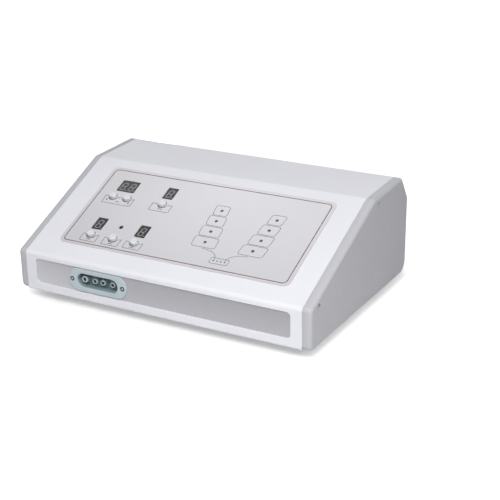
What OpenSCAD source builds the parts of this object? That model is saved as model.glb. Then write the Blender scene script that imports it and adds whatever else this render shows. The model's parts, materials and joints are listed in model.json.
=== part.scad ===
// Compression therapy pump: wedge-shaped table-top casing with a sloping control panel.
// Millimetres. X runs across the front, Y from front to rear, Z up. The origin is the
// middle of the footprint on the surface it stands on.
// Inside the casing, f is the distance back from the front face and h the height above
// the underside of the casing.

/* [Casing] */
// Overall width over both end cheeks
casing_w = 400; // [390:1:440]
// Depth of the casing from front face to rear face
casing_d = 268; // [264:1:300]
// Height of the casing without its feet
casing_h = 128; // [126:1:145]
// Height of the upright front face
apron_h = 50; // [49:1:56]
// Distance from the front face back to the ridge
ridge_d = 166; // [162:1:176]
// How far the ridge lies below the rear edge of the top
ridge_drop = 3; // [1:0.5:5]
// Depth of the sloping rear edge
rear_bevel_d = 20; // [14:1:26]
// Height of the sloping rear edge
rear_bevel_h = 29.5; // [26:0.5:31]
// Radius of the cheeks' lower front corner
front_corner_r = 7; // [5:0.5:8]
// Radius of the cover's lower front bend
cover_corner_r = 2.5; // [2:0.5:4]
// Radius of the lower rear corner
rear_corner_r = 16; // [8:0.5:18]
// Radius of the bend between front face and slope
apron_bend_r = 6; // [4:0.5:9]
// Radius of the other bends
top_bend_r = 4; // [3:0.5:6]
// Thickness of the folded sheet
sheet_t = 1.5; // [1.2:0.1:1.8]
// Length of the cover's lip under the front
front_lip = 14; // [12:0.5:18]
// Height of the cover's flange on the rear face
rear_flange = 10; // [9:0.5:12]
// Height of the base tray's wall on the rear face
tray_rear_h = 34; // [33:0.5:36]
// Height of the rubber feet
foot_h = 12; // [10:0.5:15]
// Radius of a foot at its top
foot_r = 10; // [9:0.5:13]
// Distance of the feet from the cheeks' outer faces
foot_side = 35; // [32:1:50]
// Distance of the feet from the front and rear faces
foot_end = 40; // [36:1:44]

/* [End cheeks] */
// Width of the grey edge of a cheek, seen from the front
cheek_t = 11; // [10:0.5:12]
// Thickness of a cheek's walls
cheek_wall = 3; // [2.5:0.5:4]
// Radius of a cheek's outer edge
cheek_edge_r = 4.5; // [3:0.5:5.5]
// Length of the inner lip that carries the sheets
cheek_lip_l = 8; // [6:0.5:9]
// Thickness of the inner lip
cheek_lip_t = 2; // [1.5:0.25:3]
// Radius of the sunk screw holes
cheek_sink_r = 3.3; // [3.2:0.1:4]
// Distance of the front cheek screw from the front face
cheek_screw_front = 19.5; // [17:0.5:26]
// Distance of the rear cheek screw behind the ridge
cheek_screw_rear = 12; // [8:0.5:30]
// Depth of both cheek screws below the casing's outline
cheek_screw_depth = 10; // [9:0.5:14]

/* [Front strip and connector] */
// Distance from the strip's window to a cheek's seam
strip_side = 14.5; // [14.5:0.5:24]
// Height of the strip's window
strip_h = 31.5; // [31:0.5:32]
// Height of the strip's centre above the casing's underside
strip_z = 26.9; // [26.5:0.1:28]
// Corner radius of the strip's window
strip_r = 5; // [2:0.5:8]
// Distance of the connector's middle from the window's end
conn_side = 91.5; // [90:0.5:96]
// Width of the connector plate
plate_w = 84; // [82:1:90]
// Height of the connector plate
plate_h = 28.5; // [28:0.5:29]
// How far the plate stands out from the front face
plate_proud = 0.4; // [0.2:0.1:1]
// Width of the plate's opening
port_w = 58.5; // [58:0.5:60]
// Height of the plate's opening
port_h = 17.5; // [16:0.5:18]
// Depth of the connector block's cavity
port_deep = 12; // [10:0.5:14]
// Distance between the two plate screws
plate_screw_pitch = 72.5; // [72.5:0.5:74]
// Outer radius of the large nozzle
large_nozzle_r = 4.4; // [4:0.1:4.8]
// Outer radius of a small nozzle
small_nozzle_r = 3.6; // [3.4:0.1:4.2]
// Bore radius of the nozzles
nozzle_bore_r = 1.6; // [1.2:0.1:2]
// Radius of the stubs that the air tubes push onto
stub_r = 3; // [2.6:0.1:3.2]
// Outer radius of the air tubes
tube_r = 4.6; // [4:0.1:5.2]

/* [Control panel] */
// Distance from the panel sheet to a cheek's seam
label_side = 32.5; // [24:0.5:36.5]
// Height of the panel sheet, along the slope
label_h = 139; // [137:1:142]
// How far the sheet sits right of the casing's middle
label_off = 2; // [0:0.5:3]
// Distance of the sheet's lower edge from the bend
label_s = 25.7; // [25:0.1:28]
// Corner radius of the sheet
label_r = 9; // [4:0.5:12]
// Thickness of the sheet
label_t = 0.6; // [0.4:0.1:1]
// Radius of a button's cap
cap_r = 4.7; // [4.3:0.1:5]
// How far a button stands out from the slope
cap_proud = 4.6; // [3.5:0.1:5.5]
// Travel of a button
button_travel = 1.2; // [0.8:0.1:1.4]
// Height of a display module along the slope
module_h = 19.8; // [19:0.1:20]
// Width of a one-digit display
single_w = 14.2; // [13:0.1:14.6]
// Width of the two-digit display
pair_w = 25.4; // [24.6:0.1:26]
// Radius of the indicator lamp
led_r = 2.5; // [2:0.1:3]
// Distance between the panel's underside and the display board
board_drop = 6.8; // [6.6:0.1:7.4]

/* [Rear panel] */
// Distance of the mains inlet from a cheek's seam
inlet_side = 39; // [31:1:43]
// Distance between the mains inlet and the power switch
switch_pitch = 38; // [32:1:46]
// Distance between the power switch and the fan
fan_pitch = 72; // [52:1:82]
// Height of the inlet, switch and fan centres
rear_z = 61; // [60.5:0.5:62]
// Edge length of the square fan
fan_w = 50; // [46:1:50]
// Depth of the fan
fan_deep = 15; // [14:1:18]
// Half of the rocker's swing
rocker_tilt = 8; // [5:0.5:9]

/* [Pump and distributor] */
// Width of the pump case
pump_w = 110; // [108:1:114]
// Depth of the pump case
pump_d = 84; // [82:1:88]
// Height of the pump case
pump_h = 56; // [54:1:60]
// Wall of the pump case
pump_wall = 3; // [2.5:0.25:3.5]
// Height of the rubber isolators under the pump
isolator_h = 8; // [7:0.5:12]
// Space between pump case and the casing's rear face
pump_back = 22; // [20:1:24]
// Half of an arm's swing
arm_swing = 1.5; // [1:0.25:2]
// Distance of the distributor's middle from the front face
dist_f = 96; // [90:1:104]
// Height of the distributor body
dist_h = 40; // [38:1:42]
// Radius of the distributor's rotor
rotor_r = 13.7; // [12:0.1:14.5]

/* [Hidden] */
$fn = 64;

// Clearances and small shared sizes
flat_gap = 0.2;        // between flat faces that slide past each other in assembly
seam_gap = 0.3;        // visible seam between sheets and cheeks
run_gap = 0.05;        // radial, shaft in its bore
loose_gap = 0.3;       // round a piece that moves or drops in
glue_gap = 0.05;       // adhesive under the panel sheet
cut = 1;               // how far a cutting tool runs past a face
bend_steps = 8;        // straight facets in a bend
edge_steps = 5;        // slices in a cheek's rounded edge
board_t = 1.6;
screw_r = 2;           // M4
screw_head_r = 3.8;
screw_head_h = 1.2;
screw_l = 10;
small_screw_r = 1.5;   // M3
small_head_r = 2.7;
small_head_h = 1.6;
hole_gap = 0.1;        // radial, screw in its hole
spacer_r = 3;
spacer_h = 8;

// Colours
white = [0.93, 0.93, 0.95];
grey = [0.68, 0.69, 0.72];
silver = [0.7, 0.7, 0.72];
pale_teal = [0.7, 0.78, 0.8];
dark_teal = [0.27, 0.35, 0.38];
label_grey = [0.83, 0.83, 0.84];
black = [0.12, 0.12, 0.13];
green = [0.1, 0.35, 0.2];
copper = [0.72, 0.42, 0.2];
steel = [0.62, 0.63, 0.66];
rubber = [0.2, 0.2, 0.21];
cream = [0.9, 0.88, 0.8];

// Front connector, outwards from the front face
plate_t = sheet_t + plate_proud;
plate_head_h = 0.3;
front_out = plate_proud + plate_head_h;

// Rocker, measured from its pivot
rocker_pivot_deep = 3;
rocker_l = 7.4;
rocker_rise = 5;
rocker_dip = 1;
rocker_w = 9.8;
rocker_pin_r = 1.2;
rocker_tip = rocker_l * sin(rocker_tilt) + rocker_rise * cos(rocker_tilt) - rocker_pivot_deep;

// Where the casing lies
panel_recess = sheet_t + flat_gap;
rear_out = max(rocker_tip - panel_recess, screw_head_h);
front_y = (front_out - rear_out - casing_d) / 2;
seam_x = casing_w / 2 - cheek_t;
sheet_x = seam_x - seam_gap;
lip_x = seam_x - cheek_lip_l;
wall_x = lip_x - 0.5;
slope_rise = casing_h - ridge_drop - apron_h;
slope_a = atan2(slope_rise, ridge_d);
slope_l = norm([ridge_d, slope_rise]);
bevel_h = casing_h - rear_bevel_h;
rear_f = casing_d - panel_recess;
panel_in_f = rear_f - sheet_t;
strip_w = 2 * (seam_x - strip_side);
conn_x = conn_side - strip_w / 2;
label_w = 2 * (seam_x - label_side);
label_x0 = label_off - label_w / 2;
inlet_x = seam_x - inlet_side;
switch_x = inlet_x - switch_pitch;
fan_x = switch_x - fan_pitch;

// Outline of the casing, clockwise from the lower front corner
outline = [[0, 0], [0, apron_h], [ridge_d, casing_h - ridge_drop],
    [casing_d - rear_bevel_d, casing_h], [casing_d, bevel_h], [casing_d, 0]];
outline_r = [front_corner_r, apron_bend_r, top_bend_r, top_bend_r, top_bend_r, rear_corner_r];

// ---- Paths and sheets -------------------------------------------------------------

function unit(v) = v / norm(v);
function right_of(v) = [v[1], -v[0]];
function backwards(p) = [for (i = [len(p) - 1 : -1 : 0]) p[i]];
function heading(a, b) = unit(b - a);

// Point p moved to the right of both legs that meet there, by d
function mitre(a, p, b, d) =
    let (m = right_of(heading(a, p)), n = right_of(heading(p, b)))
    p + (m + n) * d / (1 + m * n);

// Tangent arc of radius r in the corner a-p-b
function corner_arc(a, p, b, r) =
    let (u = unit(a - p), v = unit(b - p), half = acos(u * v) / 2)
    let (c = p + unit(u + v) * r / sin(half), s = p + u * r / tan(half) - c)
    let (e = p + v * r / tan(half) - c, from = atan2(s[1], s[0]))
    let (turn = (atan2(e[1], e[0]) - from + 540) % 360 - 180)
    [for (i = [0 : bend_steps]) c + r * [cos(from + turn * i / bend_steps),
        sin(from + turn * i / bend_steps)]];

function wrap(p, i) = p[(i + len(p)) % len(p)];

// Closed outline moved inwards by d, and one with rounded corners
function inset_loop(p, d) =
    [for (i = [0 : len(p) - 1]) mitre(wrap(p, i - 1), p[i], wrap(p, i + 1), d)];
function round_loop(p, r) =
    [for (i = [0 : len(p) - 1]) each corner_arc(wrap(p, i - 1), p[i], wrap(p, i + 1), r[i])];
function inset_outline(d) = round_loop(inset_loop(outline, d), [for (r = outline_r) max(r - d, 0.4)]);

// Open path moved to its right by d, and one with rounded corners
function shift_path(p, d) = [for (i = [0 : len(p) - 1])
    i == 0 ? p[0] + right_of(heading(p[0], p[1])) * d :
    i == len(p) - 1 ? p[i] + right_of(heading(p[i - 1], p[i])) * d :
    mitre(p[i - 1], p[i], p[i + 1], d)];
function round_path(p, r) = concat([p[0]],
    [for (i = [1 : len(p) - 2]) each corner_arc(p[i - 1], p[i], p[i + 1], r[i])],
    [p[len(p) - 1]]);
function turn_sign(p, i) = sign(cross(heading(p[i - 1], p[i]), heading(p[i], p[i + 1])));

// Section of a sheet of thickness t that lies to the right of a path
module band(p, r, t) {
    inner = [for (i = [0 : len(p) - 1])
        i == 0 || i == len(p) - 1 ? 0 : r[i] + t * turn_sign(p, i)];
    polygon(concat(round_path(p, r), backwards(round_path(shift_path(p, t), inner))));
}

module rounded_rect(w, h, r) {
    corners = [[-w / 2, -h / 2], [-w / 2, h / 2], [w / 2, h / 2], [w / 2, -h / 2]];
    polygon(round_loop(corners, [r, r, r, r]));
}

module stadium(w, h) {
    square([w - h, h], center = true);
    for (side = [-1, 1])
        translate([side * (w - h) / 2, 0])
            circle(d = h);
}

module tube(r_out, r_in, l) {
    difference() {
        cylinder(r = r_out, h = l);
        translate([0, 0, -cut])
            cylinder(r = r_in, h = l + 2 * cut);
    }
}

// Cuboid centred in x and y that stands on its local ground
module block(w, d, h) {
    translate([-w / 2, -d / 2, 0])
        cube([w, d, h]);
}

// ---- Places -----------------------------------------------------------------------

// A spot at x, f and h inside the casing
module at(x, f, h) {
    translate([x, front_y + f, foot_h + h])
        children();
}

// A section in f and h, drawn out along x
module along_x(x0, x1) {
    at(x0, 0, 0)
        rotate([90, 0, 90])
            linear_extrude(x1 - x0)
                children();
}

// On the slope: x across, s up from the bend, n outwards
module on_slope(x, s, n) {
    at(x, 0, apron_h)
        rotate([slope_a, 0, 0])
            translate([0, s, n])
                children();
}

// f and h of a spot on the slope
function slope_spot(s, n) =
    [s * cos(slope_a) - n * sin(slope_a), apron_h + s * sin(slope_a) + n * cos(slope_a)];

// On the front face: x across, h up, n outwards
module on_front(x, h, n) {
    at(x, 0, h)
        rotate([90, 0, 0])
            translate([0, 0, n])
                children();
}

// On the rear panel's outer face, n outwards
module on_rear(x, h, n) {
    at(x, rear_f, h)
        rotate([90, 0, 180])
            translate([0, 0, n])
                children();
}

// ---- Screws -----------------------------------------------------------------------

// Button-headed screw, its head's underside on the local ground and its shank below
module screw(r, l, head_r, head_h, socket_r) {
    difference() {
        union() {
            translate([0, 0, -l])
                cylinder(r = r, h = l);
            cylinder(r1 = head_r, r2 = head_r * 0.8, h = head_h);
        }
        translate([0, 0, head_h * 0.4])
            cylinder(r = socket_r, h = head_h);
    }
}

module casing_screw() {
    screw(screw_r, screw_l, screw_head_r, screw_head_h, screw_r * 0.7);
}

module small_screw(l) {
    screw(small_screw_r, l, small_head_r, small_head_h, small_screw_r * 0.7);
}

// ---- Casing -----------------------------------------------------------------------

rear_screw_x = [-inlet_x, fan_x - 45, inlet_x];
cover_screw_h = bevel_h - rear_flange / 2;
tray_screw_h = tray_rear_h - 7;
screw_hole_r = screw_r + hole_gap;
window_gap = 0.4;
cap_hole_r = cap_r + window_gap;

// Display centres and button centres on the slope: x, s
function panel_spot(x, s) = [label_x0 + x, label_s + s];
pair_spot = panel_spot(37, 109.8);
upper_spot = panel_spot(99.5, 110);
left_spot = panel_spot(36.5, 40);
right_spot = panel_spot(99.2, 40);
lamp_spot = panel_spot(67.6, 40.5);
button_spots = [panel_spot(27, 89.2), panel_spot(47.8, 89.2), panel_spot(99.5, 90),
    panel_spot(36.2, 20.3), panel_spot(68.5, 20), panel_spot(99.4, 20.4)];

// Openings for the displays, buttons and lamp, cut square to the slope
module panel_cutters() {
    for (p = [pair_spot])
        on_slope(p[0], p[1], -3 * sheet_t)
            block(pair_w + 2 * window_gap, module_h + 2 * window_gap, 6 * sheet_t);
    for (p = [upper_spot, left_spot, right_spot])
        on_slope(p[0], p[1], -3 * sheet_t)
            block(single_w + 2 * window_gap, module_h + 2 * window_gap, 6 * sheet_t);
    for (p = button_spots)
        on_slope(p[0], p[1], -3 * sheet_t)
            cylinder(r = cap_hole_r, h = 6 * sheet_t);
    on_slope(lamp_spot[0], lamp_spot[1], -3 * sheet_t)
        cylinder(r = led_r + window_gap, h = 6 * sheet_t);
}

module top_cover() {
    path = [[front_lip, 0], outline[0], outline[1], outline[2], outline[3], outline[4],
        [casing_d, bevel_h - rear_flange]];
    radii = [0, cover_corner_r, outline_r[1], outline_r[2], outline_r[3], outline_r[4], 0];
    color(white)
        difference() {
            along_x(-sheet_x, sheet_x)
                band(path, radii, sheet_t);
            on_front(0, strip_z, -sheet_t - cut)
                linear_extrude(sheet_t + 2 * cut)
                    rounded_rect(strip_w, strip_h, strip_r);
            panel_cutters();
            for (x = rear_screw_x)
                on_rear(x, cover_screw_h, 0)
                    cylinder(r = screw_hole_r, h = 3 * sheet_t);
        }
}

foot_spots = [[-1, -1], [1, -1], [-1, 1], [1, 1]];
function foot_x(side) = side * (casing_w / 2 - foot_side);
function foot_f(end) = casing_d / 2 + end * (casing_d / 2 - foot_end);
collar_r = 4;
collar_h = 2.5;
slot_w = 3;
slot_pitch = 8;
tray_slot_l = 30;
tray_slot_x = [for (i = [0 : 7]) seam_x - 99 + i * slot_pitch];
tray_slot_f = 143;

module base_chassis() {
    path = [[casing_d, tray_rear_h], outline[5], [front_lip + seam_gap, 0]];
    wall_inset = 2 * panel_recess + flat_gap;
    color(steel)
        difference() {
            union() {
                along_x(-sheet_x, sheet_x)
                    band(path, [0, rear_corner_r, 0], sheet_t);
                for (side = [-1, 1])
                    along_x(side * wall_x - (side > 0 ? sheet_t : 0),
                            side * wall_x + (side > 0 ? 0 : sheet_t)) {
                        polygon(inset_outline(wall_inset));
                        translate([front_lip + 2, sheet_t / 2])
                            square([casing_d - rear_corner_r - front_lip - 6, 2 * wall_inset]);
                    }
                for (p = foot_spots)
                    at(foot_x(p[0]), foot_f(p[1]), sheet_t / 2)
                        cylinder(r = collar_r, h = collar_h + sheet_t / 2);
            }
            for (p = foot_spots)
                at(foot_x(p[0]), foot_f(p[1]), -cut)
                    cylinder(r = screw_hole_r, h = sheet_t + collar_h + 2 * cut);
            for (x = rear_screw_x)
                on_rear(x, tray_screw_h, 0)
                    cylinder(r = screw_hole_r, h = 3 * sheet_t);
            for (x = [-1, 1], p = cheek_screw_spots)
                at(x * (wall_x + cut), p[0], p[1])
                    rotate([0, -x * 90, 0])
                        cylinder(r = screw_hole_r, h = sheet_t + 2 * cut);
            for (x = [-1, 1], p = peg_spots)
                at(x * (wall_x + cut), p[0], p[1])
                    rotate([0, -x * 90, 0])
                        cylinder(r = peg_r + hole_gap, h = sheet_t + 2 * cut);
            for (x = tray_slot_x)
                at(x, tray_slot_f, -cut)
                    linear_extrude(sheet_t + 2 * cut)
                        rotate(90)
                            stadium(tray_slot_l, slot_w);
            for (p = isolator_spots)
                at(p[0], p[1], -cut)
                    cylinder(r = isolator_stem_r + hole_gap, h = sheet_t + 2 * cut);
            for (side = [-1, 1]) {
                at(core_x + side * core_screw, core_f, -cut)
                    cylinder(r = screw_hole_r, h = sheet_t + 2 * cut);
                at(conn_x + side * motor_screw, dist_f, -cut)
                    cylinder(r = small_screw_r + hole_gap, h = sheet_t + 2 * cut);
            }
        }
}

// Rear panel between the cheeks' lips
panel_low = 18;
panel_high = bevel_h - 3.5;
inlet_w = 27;
inlet_h = 31;
switch_w = 13;
switch_h = 19;
vent_l = 40;
vent_x = [for (i = [0 : 14]) conn_x - 72 + i * slot_pitch];
fan_screw = fan_w / 2 - 5;
fan_bore_r = fan_w / 2 - 1.5;

module rear_panel() {
    half_w = lip_x - flat_gap;
    color(grey)
        difference() {
            at(-half_w, panel_in_f, panel_low)
                cube([2 * half_w, sheet_t, panel_high - panel_low]);
            for (x = rear_screw_x, h = [cover_screw_h, tray_screw_h])
                on_rear(x, h, -sheet_t - cut)
                    cylinder(r = screw_hole_r, h = sheet_t + 2 * cut);
            on_rear(inlet_x, rear_z, -sheet_t - cut)
                block(inlet_w + 2 * flat_gap, inlet_h + 2 * flat_gap, sheet_t + 2 * cut);
            on_rear(switch_x, rear_z, -sheet_t - cut)
                block(switch_w + 2 * flat_gap, switch_h + 2 * flat_gap, sheet_t + 2 * cut);
            on_rear(fan_x, rear_z, -sheet_t - cut) {
                cylinder(r = fan_bore_r, h = sheet_t + 2 * cut);
                for (i = [-1, 1], j = [-1, 1])
                    translate([i * fan_screw, j * fan_screw, 0])
                        cylinder(r = small_screw_r + hole_gap, h = sheet_t + 2 * cut);
            }
            for (x = vent_x)
                on_rear(x, rear_z, -sheet_t - cut)
                    linear_extrude(sheet_t + 2 * cut)
                        rotate(90)
                            stadium(vent_l, slot_w);
        }
}

// Cheek screws and locating pegs: f, h
rear_screw_f = ridge_d + cheek_screw_rear;
slope_slant = [-sin(slope_a), cos(slope_a)];
top_fall = ridge_drop / (casing_d - rear_bevel_d - ridge_d);
cheek_screw_spots = [
    [cheek_screw_front, apron_h + cheek_screw_front * tan(slope_a) - cheek_screw_depth / cos(slope_a)],
    [rear_screw_f, casing_h - ridge_drop + cheek_screw_rear * top_fall - cheek_screw_depth]];
peg_spots = [[34, 12], [casing_d - 26, 24]];
peg_r = 2.5;
cheek_boss_r = 4.6;
cheek_head_r = 3;
cheek_head_h = 2;
cheek_screw_seat = 9;      // depth of the screw head's seat from the cheek's outer face

// The cheek's solid form: slices of the outline, drawn in towards the outer face
module cheek_form() {
    hull() {
        along_x(seam_x, casing_w / 2 - cheek_edge_r)
            polygon(round_loop(outline, outline_r));
        for (i = [1 : edge_steps]) {
            a = 90 * i / edge_steps;
            x = casing_w / 2 - cheek_edge_r * (1 - sin(a));
            along_x(x - 0.01, x)
                polygon(inset_outline(cheek_edge_r * (1 - cos(a))));
        }
    }
}

module cheek() {
    inner_x = casing_w / 2 - cheek_wall;
    difference() {
        union() {
            difference() {
                cheek_form();
                along_x(seam_x - cut, inner_x)
                    polygon(inset_outline(cheek_wall));
            }
            difference() {
                along_x(lip_x, inner_x)
                    polygon(inset_outline(panel_recess));
                along_x(lip_x - cut, inner_x + 0.01)
                    polygon(inset_outline(panel_recess + cheek_lip_t));
            }
            for (p = cheek_screw_spots)
                at(wall_x, p[0], p[1])
                    rotate([0, 90, 0])
                        cylinder(r = cheek_boss_r, h = inner_x - wall_x + 0.5);
            for (p = peg_spots)
                at(wall_x - 2 * sheet_t, p[0], p[1])
                    rotate([0, 90, 0])
                        cylinder(r = peg_r, h = inner_x - wall_x + 2 * sheet_t + 0.5);
        }
        for (p = cheek_screw_spots)
            at(wall_x - cut, p[0], p[1])
                rotate([0, 90, 0]) {
                    cylinder(r = screw_hole_r, h = casing_w);
                    translate([0, 0, casing_w / 2 - wall_x + cut - cheek_screw_seat])
                        cylinder(r = cheek_sink_r, h = casing_w);
                }
    }
}

module right_cheek() {
    color(grey)
        cheek();
}

module left_cheek() {
    color(grey)
        mirror([1, 0, 0])
            cheek();
}

module cheek_screws() {
    reach = casing_w / 2 - cheek_screw_seat - wall_x + 3 * sheet_t;
    color(black)
        for (side = [0, 1], p = cheek_screw_spots)
            mirror([side, 0, 0])
                at(casing_w / 2 - cheek_screw_seat, p[0], p[1])
                    rotate([0, 90, 0])
                        screw(screw_r, reach, cheek_head_r, cheek_head_h, screw_r * 0.7);
}

foot_sink = foot_h * 0.55;

module casing_screws() {
    color(steel) {
        for (x = rear_screw_x, h = [cover_screw_h, tray_screw_h])
            on_rear(x, h, panel_recess)
                casing_screw();
        for (p = foot_spots)
            at(foot_x(p[0]), foot_f(p[1]), foot_sink - foot_h)
                rotate([180, 0, 0])
                    casing_screw();
        for (side = [-1, 1]) {
            at(core_x + side * core_screw, core_f, 0)
                rotate([180, 0, 0])
                    casing_screw();
            at(core_x + side * core_screw, core_f, sheet_t + core_strap_t)
                difference() {
                    cylinder(r = 4, h = 3.2, $fn = 6);
                    translate([0, 0, -cut])
                        cylinder(r = screw_r + run_gap, h = 3.2 + 2 * cut);
                }
        }
    }
}

module foot(side, end) {
    color(rubber)
        at(foot_x(side), foot_f(end), -foot_h)
            difference() {
                cylinder(r1 = foot_r * 0.9, r2 = foot_r, h = foot_h);
                translate([0, 0, -cut])
                    cylinder(r = screw_hole_r, h = foot_h + 2 * cut);
                translate([0, 0, -cut])
                    cylinder(r = screw_head_r + loose_gap, h = foot_sink + cut);
            }
}

module foot_front_left() {
    foot(-1, -1);
}

module foot_front_right() {
    foot(1, -1);
}

module foot_rear_left() {
    foot(-1, 1);
}

module foot_rear_right() {
    foot(1, 1);
}

// ---- Front strip and air connector --------------------------------------------------

block_wall = 3;
block_w = port_w + 2 * block_wall;
block_h = port_h + 2 * block_wall;
block_floor = 4;
ear_t = 3;
strip_back = sheet_t + sheet_t;                  // depth of the strip's rear face
ear_n = -strip_back - flat_gap;
cavity_n = -sheet_t - port_deep;                 // floor of the cavity
nozzle_tip = 5;                                  // depth of the nozzle tips
nozzle_large_x = -21;
nozzle_small_x = [-6, 5.5, 19.5];
stub_l = 11;
stub_end_n = cavity_n - block_floor - stub_l;

// The strip lies behind its window and fills the flat of the front face
module front_strip() {
    side = 6;
    low = front_corner_r + loose_gap;
    high = apron_h - apron_bend_r * tan((90 - slope_a) / 2) - loose_gap;
    color(silver)
        difference() {
            on_front(0, 0, -strip_back)
                translate([-strip_w / 2 - side, low, 0])
                    cube([strip_w + 2 * side, high - low, sheet_t]);
            on_front(conn_x, strip_z, -strip_back - cut) {
                linear_extrude(sheet_t + 2 * cut)
                    stadium(block_w + 2 * flat_gap, block_h + 2 * flat_gap);
                for (side = [-1, 1])
                    translate([side * plate_screw_pitch / 2, 0, 0])
                        cylinder(r = small_screw_r + hole_gap, h = sheet_t + 2 * cut);
            }
        }
}

module connector_plate() {
    color(pale_teal)
        on_front(conn_x, strip_z, -sheet_t)
            difference() {
                linear_extrude(plate_t)
                    stadium(plate_w, plate_h);
                translate([0, 0, -cut])
                    linear_extrude(plate_t + 2 * cut)
                        stadium(port_w, port_h);
                for (side = [-1, 1])
                    translate([side * plate_screw_pitch / 2, 0, -cut])
                        cylinder(r = small_screw_r + hole_gap, h = plate_t + 2 * cut);
            }
}

module connector_block() {
    color(dark_teal)
        on_front(conn_x, strip_z, 0)
            difference() {
                union() {
                    translate([0, 0, cavity_n - block_floor])
                        linear_extrude(port_deep + block_floor)
                            stadium(block_w, block_h);
                    translate([0, 0, ear_n - ear_t])
                        linear_extrude(ear_t)
                            stadium(plate_w - 2, block_h);
                }
                translate([0, 0, cavity_n])
                    linear_extrude(port_deep + cut)
                        stadium(port_w, port_h);
                for (x = concat([nozzle_large_x], nozzle_small_x))
                    translate([x, 0, cavity_n - block_floor - cut])
                        cylinder(r = stub_r + run_gap, h = block_floor + 2 * cut);
                for (side = [-1, 1])
                    translate([side * plate_screw_pitch / 2, 0, ear_n - ear_t - cut])
                        cylinder(r = small_screw_r + run_gap, h = ear_t + 2 * cut);
            }
}

module connector_screws() {
    color(steel)
        for (side = [-1, 1])
            on_front(conn_x + side * plate_screw_pitch / 2, strip_z, plate_proud)
                screw(small_screw_r, plate_t + sheet_t + ear_t + 2, small_head_r, plate_head_h,
                    small_screw_r * 0.6);
}

// Nozzle: a spigot in the cavity and a stub behind the block for its tube
module nozzle(x, r) {
    on_front(conn_x + x, strip_z, 0)
        difference() {
            union() {
                translate([0, 0, cavity_n])
                    cylinder(r = r, h = -nozzle_tip - cavity_n);
                translate([0, 0, stub_end_n])
                    cylinder(r = stub_r, h = stub_l + block_floor + 1);
            }
            translate([0, 0, stub_end_n - cut])
                cylinder(r = nozzle_bore_r, h = -stub_end_n + cut);
        }
}

module large_nozzle() {
    color(cream)
        nozzle(nozzle_large_x, large_nozzle_r);
}

module small_nozzles() {
    color(cream)
        for (x = nozzle_small_x)
            nozzle(x, small_nozzle_r);
}

dist_d = 32;
dist_w = 64;
dist_front = dist_f - dist_d / 2;
dist_rear = dist_f + dist_d / 2;
pump_f = casing_d - pump_back - pump_d / 2;
pump_front = pump_f - pump_d / 2;
block_rear = -cavity_n + block_floor;

// Straight air tube between two faces, pushed over a stub at each end
module air_tube(x, f0, f1) {
    at(x, f0 + loose_gap, strip_z)
        rotate([-90, 0, 0])
            tube(tube_r, stub_r + run_gap, f1 - f0 - 2 * loose_gap);
}

module air_tubes() {
    color(cream) {
        for (x = concat([nozzle_large_x], nozzle_small_x))
            air_tube(conn_x + x, block_rear, dist_front);
        air_tube(conn_x, dist_rear, pump_front);
    }
}

// ---- Control panel ------------------------------------------------------------------

module control_label() {
    color(label_grey)
        difference() {
            on_slope(label_off, label_s + label_h / 2, glue_gap)
                linear_extrude(label_t)
                    rounded_rect(label_w, label_h, label_r);
            panel_cutters();
        }
}

board_n = -sheet_t - board_drop;                 // upper face of the display board
board_x0 = label_x0 + 8.5;
board_x1 = board_x0 + 140;
board_s0 = label_s + 3;
board_s1 = board_s0 + 124;
board_edge = 5;
header_w = 26;
header_d = 6;
header_h = 6;
ribbon_w = 22;
ribbon_x = board_x1 - ribbon_w / 2 - 4;
ribbon_s = label_s + 63;
display_post_spots = [for (x = [board_x0 + board_edge, board_x1 - board_edge],
    s = [board_s0 + board_edge, board_s1 - board_edge]) [x, s]];

module display_board() {
    color(green)
        difference() {
            union() {
                on_slope(board_x0, board_s0, board_n - board_t)
                    cube([board_x1 - board_x0, board_s1 - board_s0, board_t]);
                on_slope(ribbon_x, ribbon_s, board_n - board_t - header_h)
                    block(header_w, header_d, header_h + board_t / 2);
            }
            for (p = display_post_spots)
                on_slope(p[0], p[1], board_n - board_t - cut)
                    cylinder(r = small_screw_r + hole_gap, h = board_t + 2 * cut);
        }
}

// Seven-segment figure: pointed bars, leaning to the right
digit_w = 7.4;
digit_h = 13.4;
bar_w = 1.6;
bar_lean = 8;
bar_deep = 0.3;
digit_pitch = 12.4;

function lean(p) = [p[0] + p[1] * tan(bar_lean), p[1]];

module bar(a, b) {
    u = heading(a, b) * bar_w / 2;
    v = right_of(u);
    polygon([for (p = [a + u * 0.3, a + u * 1.3 + v, b - u * 1.3 + v,
        b - u * 0.3, b - u * 1.3 - v, a + u * 1.3 - v]) lean(p)]);
}

module digit() {
    w = (digit_w - bar_w) / 2;
    h = (digit_h - bar_w) / 2;
    for (y = [-h, 0, h])
        bar([-w, y], [w, y]);
    for (x = [-w, w], y = [-h, 0])
        bar([x, y], [x, y + h]);
}

// Display module standing on the board; its face lies just under the panel sheet's face
module display(spot, w, digits) {
    face = label_t - 0.4;
    color(black)
        difference() {
            on_slope(spot[0], spot[1], board_n)
                block(w, module_h, face - board_n);
            for (i = [0 : digits - 1])
                on_slope(spot[0] + (i - (digits - 1) / 2) * digit_pitch, spot[1], face - bar_deep)
                    linear_extrude(1)
                        digit();
        }
}

module display_pair() {
    display(pair_spot, pair_w, 2);
}

module display_upper() {
    display(upper_spot, single_w, 1);
}

module display_left() {
    display(left_spot, single_w, 1);
}

module display_right() {
    display(right_spot, single_w, 1);
}

module status_led() {
    dome = led_r;
    straight = label_t + 1 - dome - board_n;
    color([0.15, 0.05, 0.05])
        on_slope(lamp_spot[0], lamp_spot[1], board_n)
            rotate_extrude()
                polygon(concat([[0, 0], [led_r, 0]],
                    [for (i = [0 : bend_steps]) [led_r * cos(90 * i / bend_steps),
                        straight + dome * sin(90 * i / bend_steps)]]));
}

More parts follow.
